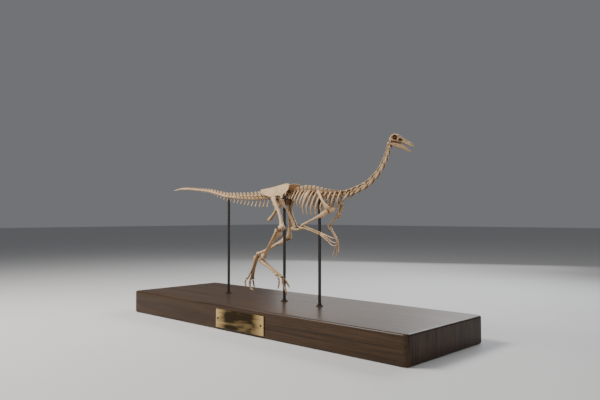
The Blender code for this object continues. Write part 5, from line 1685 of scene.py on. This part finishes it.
def build_rods():
    for name in ("tail", "pelvis", "chest"):
        low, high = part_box(f"stand_rod_{name}")
        foot = Vector(((low.x + high.x) / 2, (low.y + high.y) / 2, low.z))
        r = (high.y - low.y) / 2
        tall = high.z - low.z
        rod = lathe(((0.0, r * 0.98), (0.002, r), (0.5 * tall, r), (tall - 0.004, r),
                     (tall - 0.001, r * 0.86), (tall, r * 0.6)), UP, foot, 40)
        collar = lathe(((0.001, r * 1.02), (0.001, r * 1.34), (0.014, r * 1.34), (0.017, r * 1.24),
                        (0.018, r * 1.02)), UP, foot, 40)
        whole = joined(f"rod_{name}_post", [object_of("post", rod), object_of("collar", collar)])
        settle(weighted(whole), [f"stand_rod_{name}"], "steel")
        low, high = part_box(f"stand_flange_{name}")
        foot.z = low.z
        r = (high.y - low.y) / 2
        tall = high.z - low.z
        disc = lathe(((0.0, r), (tall * 0.55, r), (tall * 0.85, r * 0.97), (tall, r * 0.9), (tall, r * 0.3)),
                     UP, foot, 48)
        settle(weighted(object_of(f"rod_{name}_foot", disc)), [f"stand_flange_{name}"], "steel")


# ---------------------------------------------------------------- stage
CAMERA_PLACE = (4.6128, -4.6072, 1.1996)
CAMERA_TURN = 0.7589
CAMERA_PITCH = 0.0281
LAMPS = {  # place, aim, size, colour
    "key": ((-3.2, -4.0, 6.4), (0.0, 0.0, 1.1), (3.6, 2.6), (1.0, 0.965, 0.91)),
    "fill": ((5.5, -4.5, 3.2), (0.0, 0.0, 1.1), (3.0, 3.0), (1.0, 0.97, 0.93)),
    "sheen": ((-3.6, 8.4, 2.0), (0.9, 0.0, 0.3), (7.5, 3.0), (1.0, 0.98, 0.96)),
    "rim": ((0.5, 6.0, 4.4), (0.0, 0.0, 1.1), (5.0, 2.4), (0.92, 0.95, 1.0)),
}
SKY_COLOUR = (0.93, 0.95, 1.0, 1.0)
FLOOR_HALF = 60.0


def build_stage():
    look = stage_settings()
    shape = bmesh.new()
    bmesh.ops.create_grid(shape, x_segments=1, y_segments=1, size=FLOOR_HALF)
    floor = object_of("floor", shape)
    if floor.data.polygons[0].normal.z < 0:
        floor.data.flip_normals()
    made, tree, shader = new_material("floor_paint")
    tone = noise(tree, object_place(tree), 1.2, 3.0)
    feed(tree, shader, Base_Color=blend(tree, 0.04, look.floor, blend(tree, tone, 0.4, 0.9)), Roughness=0.75)
    floor.data.materials.append(made)
    world = bpy.data.worlds.new("studio")
    world.use_nodes = True
    feed(world.node_tree, world.node_tree.nodes["Background"], Color=SKY_COLOUR, Strength=look.sky)
    bpy.context.scene.world = world
    for name, (place, aim, size, tint) in LAMPS.items():
        data = bpy.data.lights.new(name, "AREA")
        data.shape = "RECTANGLE"
        data.size, data.size_y = size
        data.energy = getattr(look, name)
        data.color = tint
        lamp = linked(name, data)
        lamp.location = place
        lamp.rotation_mode = "QUATERNION"
        lamp.rotation_quaternion = (Vector(aim) - Vector(place)).to_track_quat("-Z", "Y")
    data = bpy.data.cameras.new("camera")
    data.lens = look.lens
    data.sensor_width = 36.0
    data.clip_start, data.clip_end = 0.1, 200.0
    camera = linked("camera", data)
    camera.location = CAMERA_PLACE
    camera.rotation_euler = (math.radians(90.0) + CAMERA_PITCH, 0.0, CAMERA_TURN)
    bpy.context.scene.camera = camera


# ---------------------------------------------------------------- operators
class SKELETON_OT_skull(bpy.types.Operator):
    """Skull and lower jaw"""

    bl_idname = "skeleton.skull"
    bl_label = "Skull and jaw"
    bl_options = {"REGISTER", "UNDO"}

    def execute(self, context):
        build_skull(skeleton_settings().fine)
        build_jaw(skeleton_settings().fine)
        return {"FINISHED"}


class SKELETON_OT_neck(bpy.types.Operator):
    """Neck vertebrae"""

    bl_idname = "skeleton.neck"
    bl_label = "Neck"
    bl_options = {"REGISTER", "UNDO"}

    def execute(self, context):
        build_neck()
        return {"FINISHED"}


class SKELETON_OT_trunk(bpy.types.Operator):
    """Trunk vertebrae and ribs"""

    bl_idname = "skeleton.trunk"
    bl_label = "Trunk and ribs"
    bl_options = {"REGISTER", "UNDO"}

    def execute(self, context):
        build_trunk()
        for side in SIDES:
            build_ribs(side)
        return {"FINISHED"}


class SKELETON_OT_pelvis(bpy.types.Operator):
    """Sacrum and hip bones"""

    bl_idname = "skeleton.pelvis"
    bl_label = "Pelvis"
    bl_options = {"REGISTER", "UNDO"}

    def execute(self, context):
        build_sacrum()
        for side in SIDES:
            for step in (build_ilium, build_pubis, build_ischium):
                step(side, skeleton_settings().coarse)
        return {"FINISHED"}


class SKELETON_OT_tail(bpy.types.Operator):
    """Tail vertebrae and chevrons"""

    bl_idname = "skeleton.tail"
    bl_label = "Tail"
    bl_options = {"REGISTER", "UNDO"}

    def execute(self, context):
        build_tail()
        return {"FINISHED"}


class SKELETON_OT_legs(bpy.types.Operator):
    """Thighs, shins, feet and toes"""

    bl_idname = "skeleton.legs"
    bl_label = "Hind legs"
    bl_options = {"REGISTER", "UNDO"}

    def execute(self, context):
        for side in SIDES:
            for step in (build_femur, build_tibia, build_metatarsus):
                step(side, skeleton_settings().coarse)
            build_toes(side)
        return {"FINISHED"}


class SKELETON_OT_arms(bpy.types.Operator):
    """Shoulders, arms and hands"""

    bl_idname = "skeleton.arms"
    bl_label = "Arms"
    bl_options = {"REGISTER", "UNDO"}

    def execute(self, context):
        for side in SIDES:
            for step in (build_scapula, build_humerus, build_forearm, build_hand):
                step(side, skeleton_settings().coarse)
        return {"FINISHED"}


class SKELETON_OT_base(bpy.types.Operator):
    """Wooden base with its plaque and screws"""

    bl_idname = "skeleton.base"
    bl_label = "Base and plaque"
    bl_options = {"REGISTER", "UNDO"}

    def execute(self, context):
        build_base()
        build_plaque()
        build_screws()
        return {"FINISHED"}


class SKELETON_OT_rods(bpy.types.Operator):
    """Steel rods and their feet"""

    bl_idname = "skeleton.rods"
    bl_label = "Rods"
    bl_options = {"REGISTER", "UNDO"}

    def execute(self, context):
        build_rods()
        return {"FINISHED"}


class SKELETON_OT_stage(bpy.types.Operator):
    """Floor, lights and camera"""

    bl_idname = "skeleton.stage"
    bl_label = "Stage"
    bl_options = {"REGISTER", "UNDO"}

    def execute(self, context):
        build_stage()
        return {"FINISHED"}


STEPS = (SKELETON_OT_skull, SKELETON_OT_neck, SKELETON_OT_trunk, SKELETON_OT_pelvis, SKELETON_OT_tail,
         SKELETON_OT_legs, SKELETON_OT_arms, SKELETON_OT_base, SKELETON_OT_rods, SKELETON_OT_stage)
GROUPS = {"ornithomimid_skeleton": SkeletonSettings, "ornithomimid_stand": StandSettings,
          "ornithomimid_stage": StageSettings}


class SKELETON_PT_panel(bpy.types.Panel):
    """Lists the settings and the steps"""

    bl_idname = "SKELETON_PT_panel"
    bl_label = "Mounted skeleton"
    bl_space_type = "VIEW_3D"
    bl_region_type = "UI"
    bl_category = "Skeleton"

    def draw(self, context):
        for group, kind in GROUPS.items():
            box = self.layout.box()
            for name in kind.__annotations__:
                box.prop(getattr(context.scene, group), name)
        for step in STEPS:
            self.layout.operator(step.bl_idname)


CLASSES = tuple(GROUPS.values()) + STEPS + (SKELETON_PT_panel,)


def register():
    for kind in CLASSES:
        bpy.utils.register_class(kind)
    for name, kind in GROUPS.items():
        setattr(bpy.types.Scene, name, bpy.props.PointerProperty(type=kind))


def unregister():
    for name in GROUPS:
        delattr(bpy.types.Scene, name)
    for kind in reversed(CLASSES):
        bpy.utils.unregister_class(kind)


def main():
    register()
    for step in STEPS:
        group, name = step.bl_idname.split(".")
        getattr(getattr(bpy.ops, group), name)()


if __name__ == "__main__":
    main()
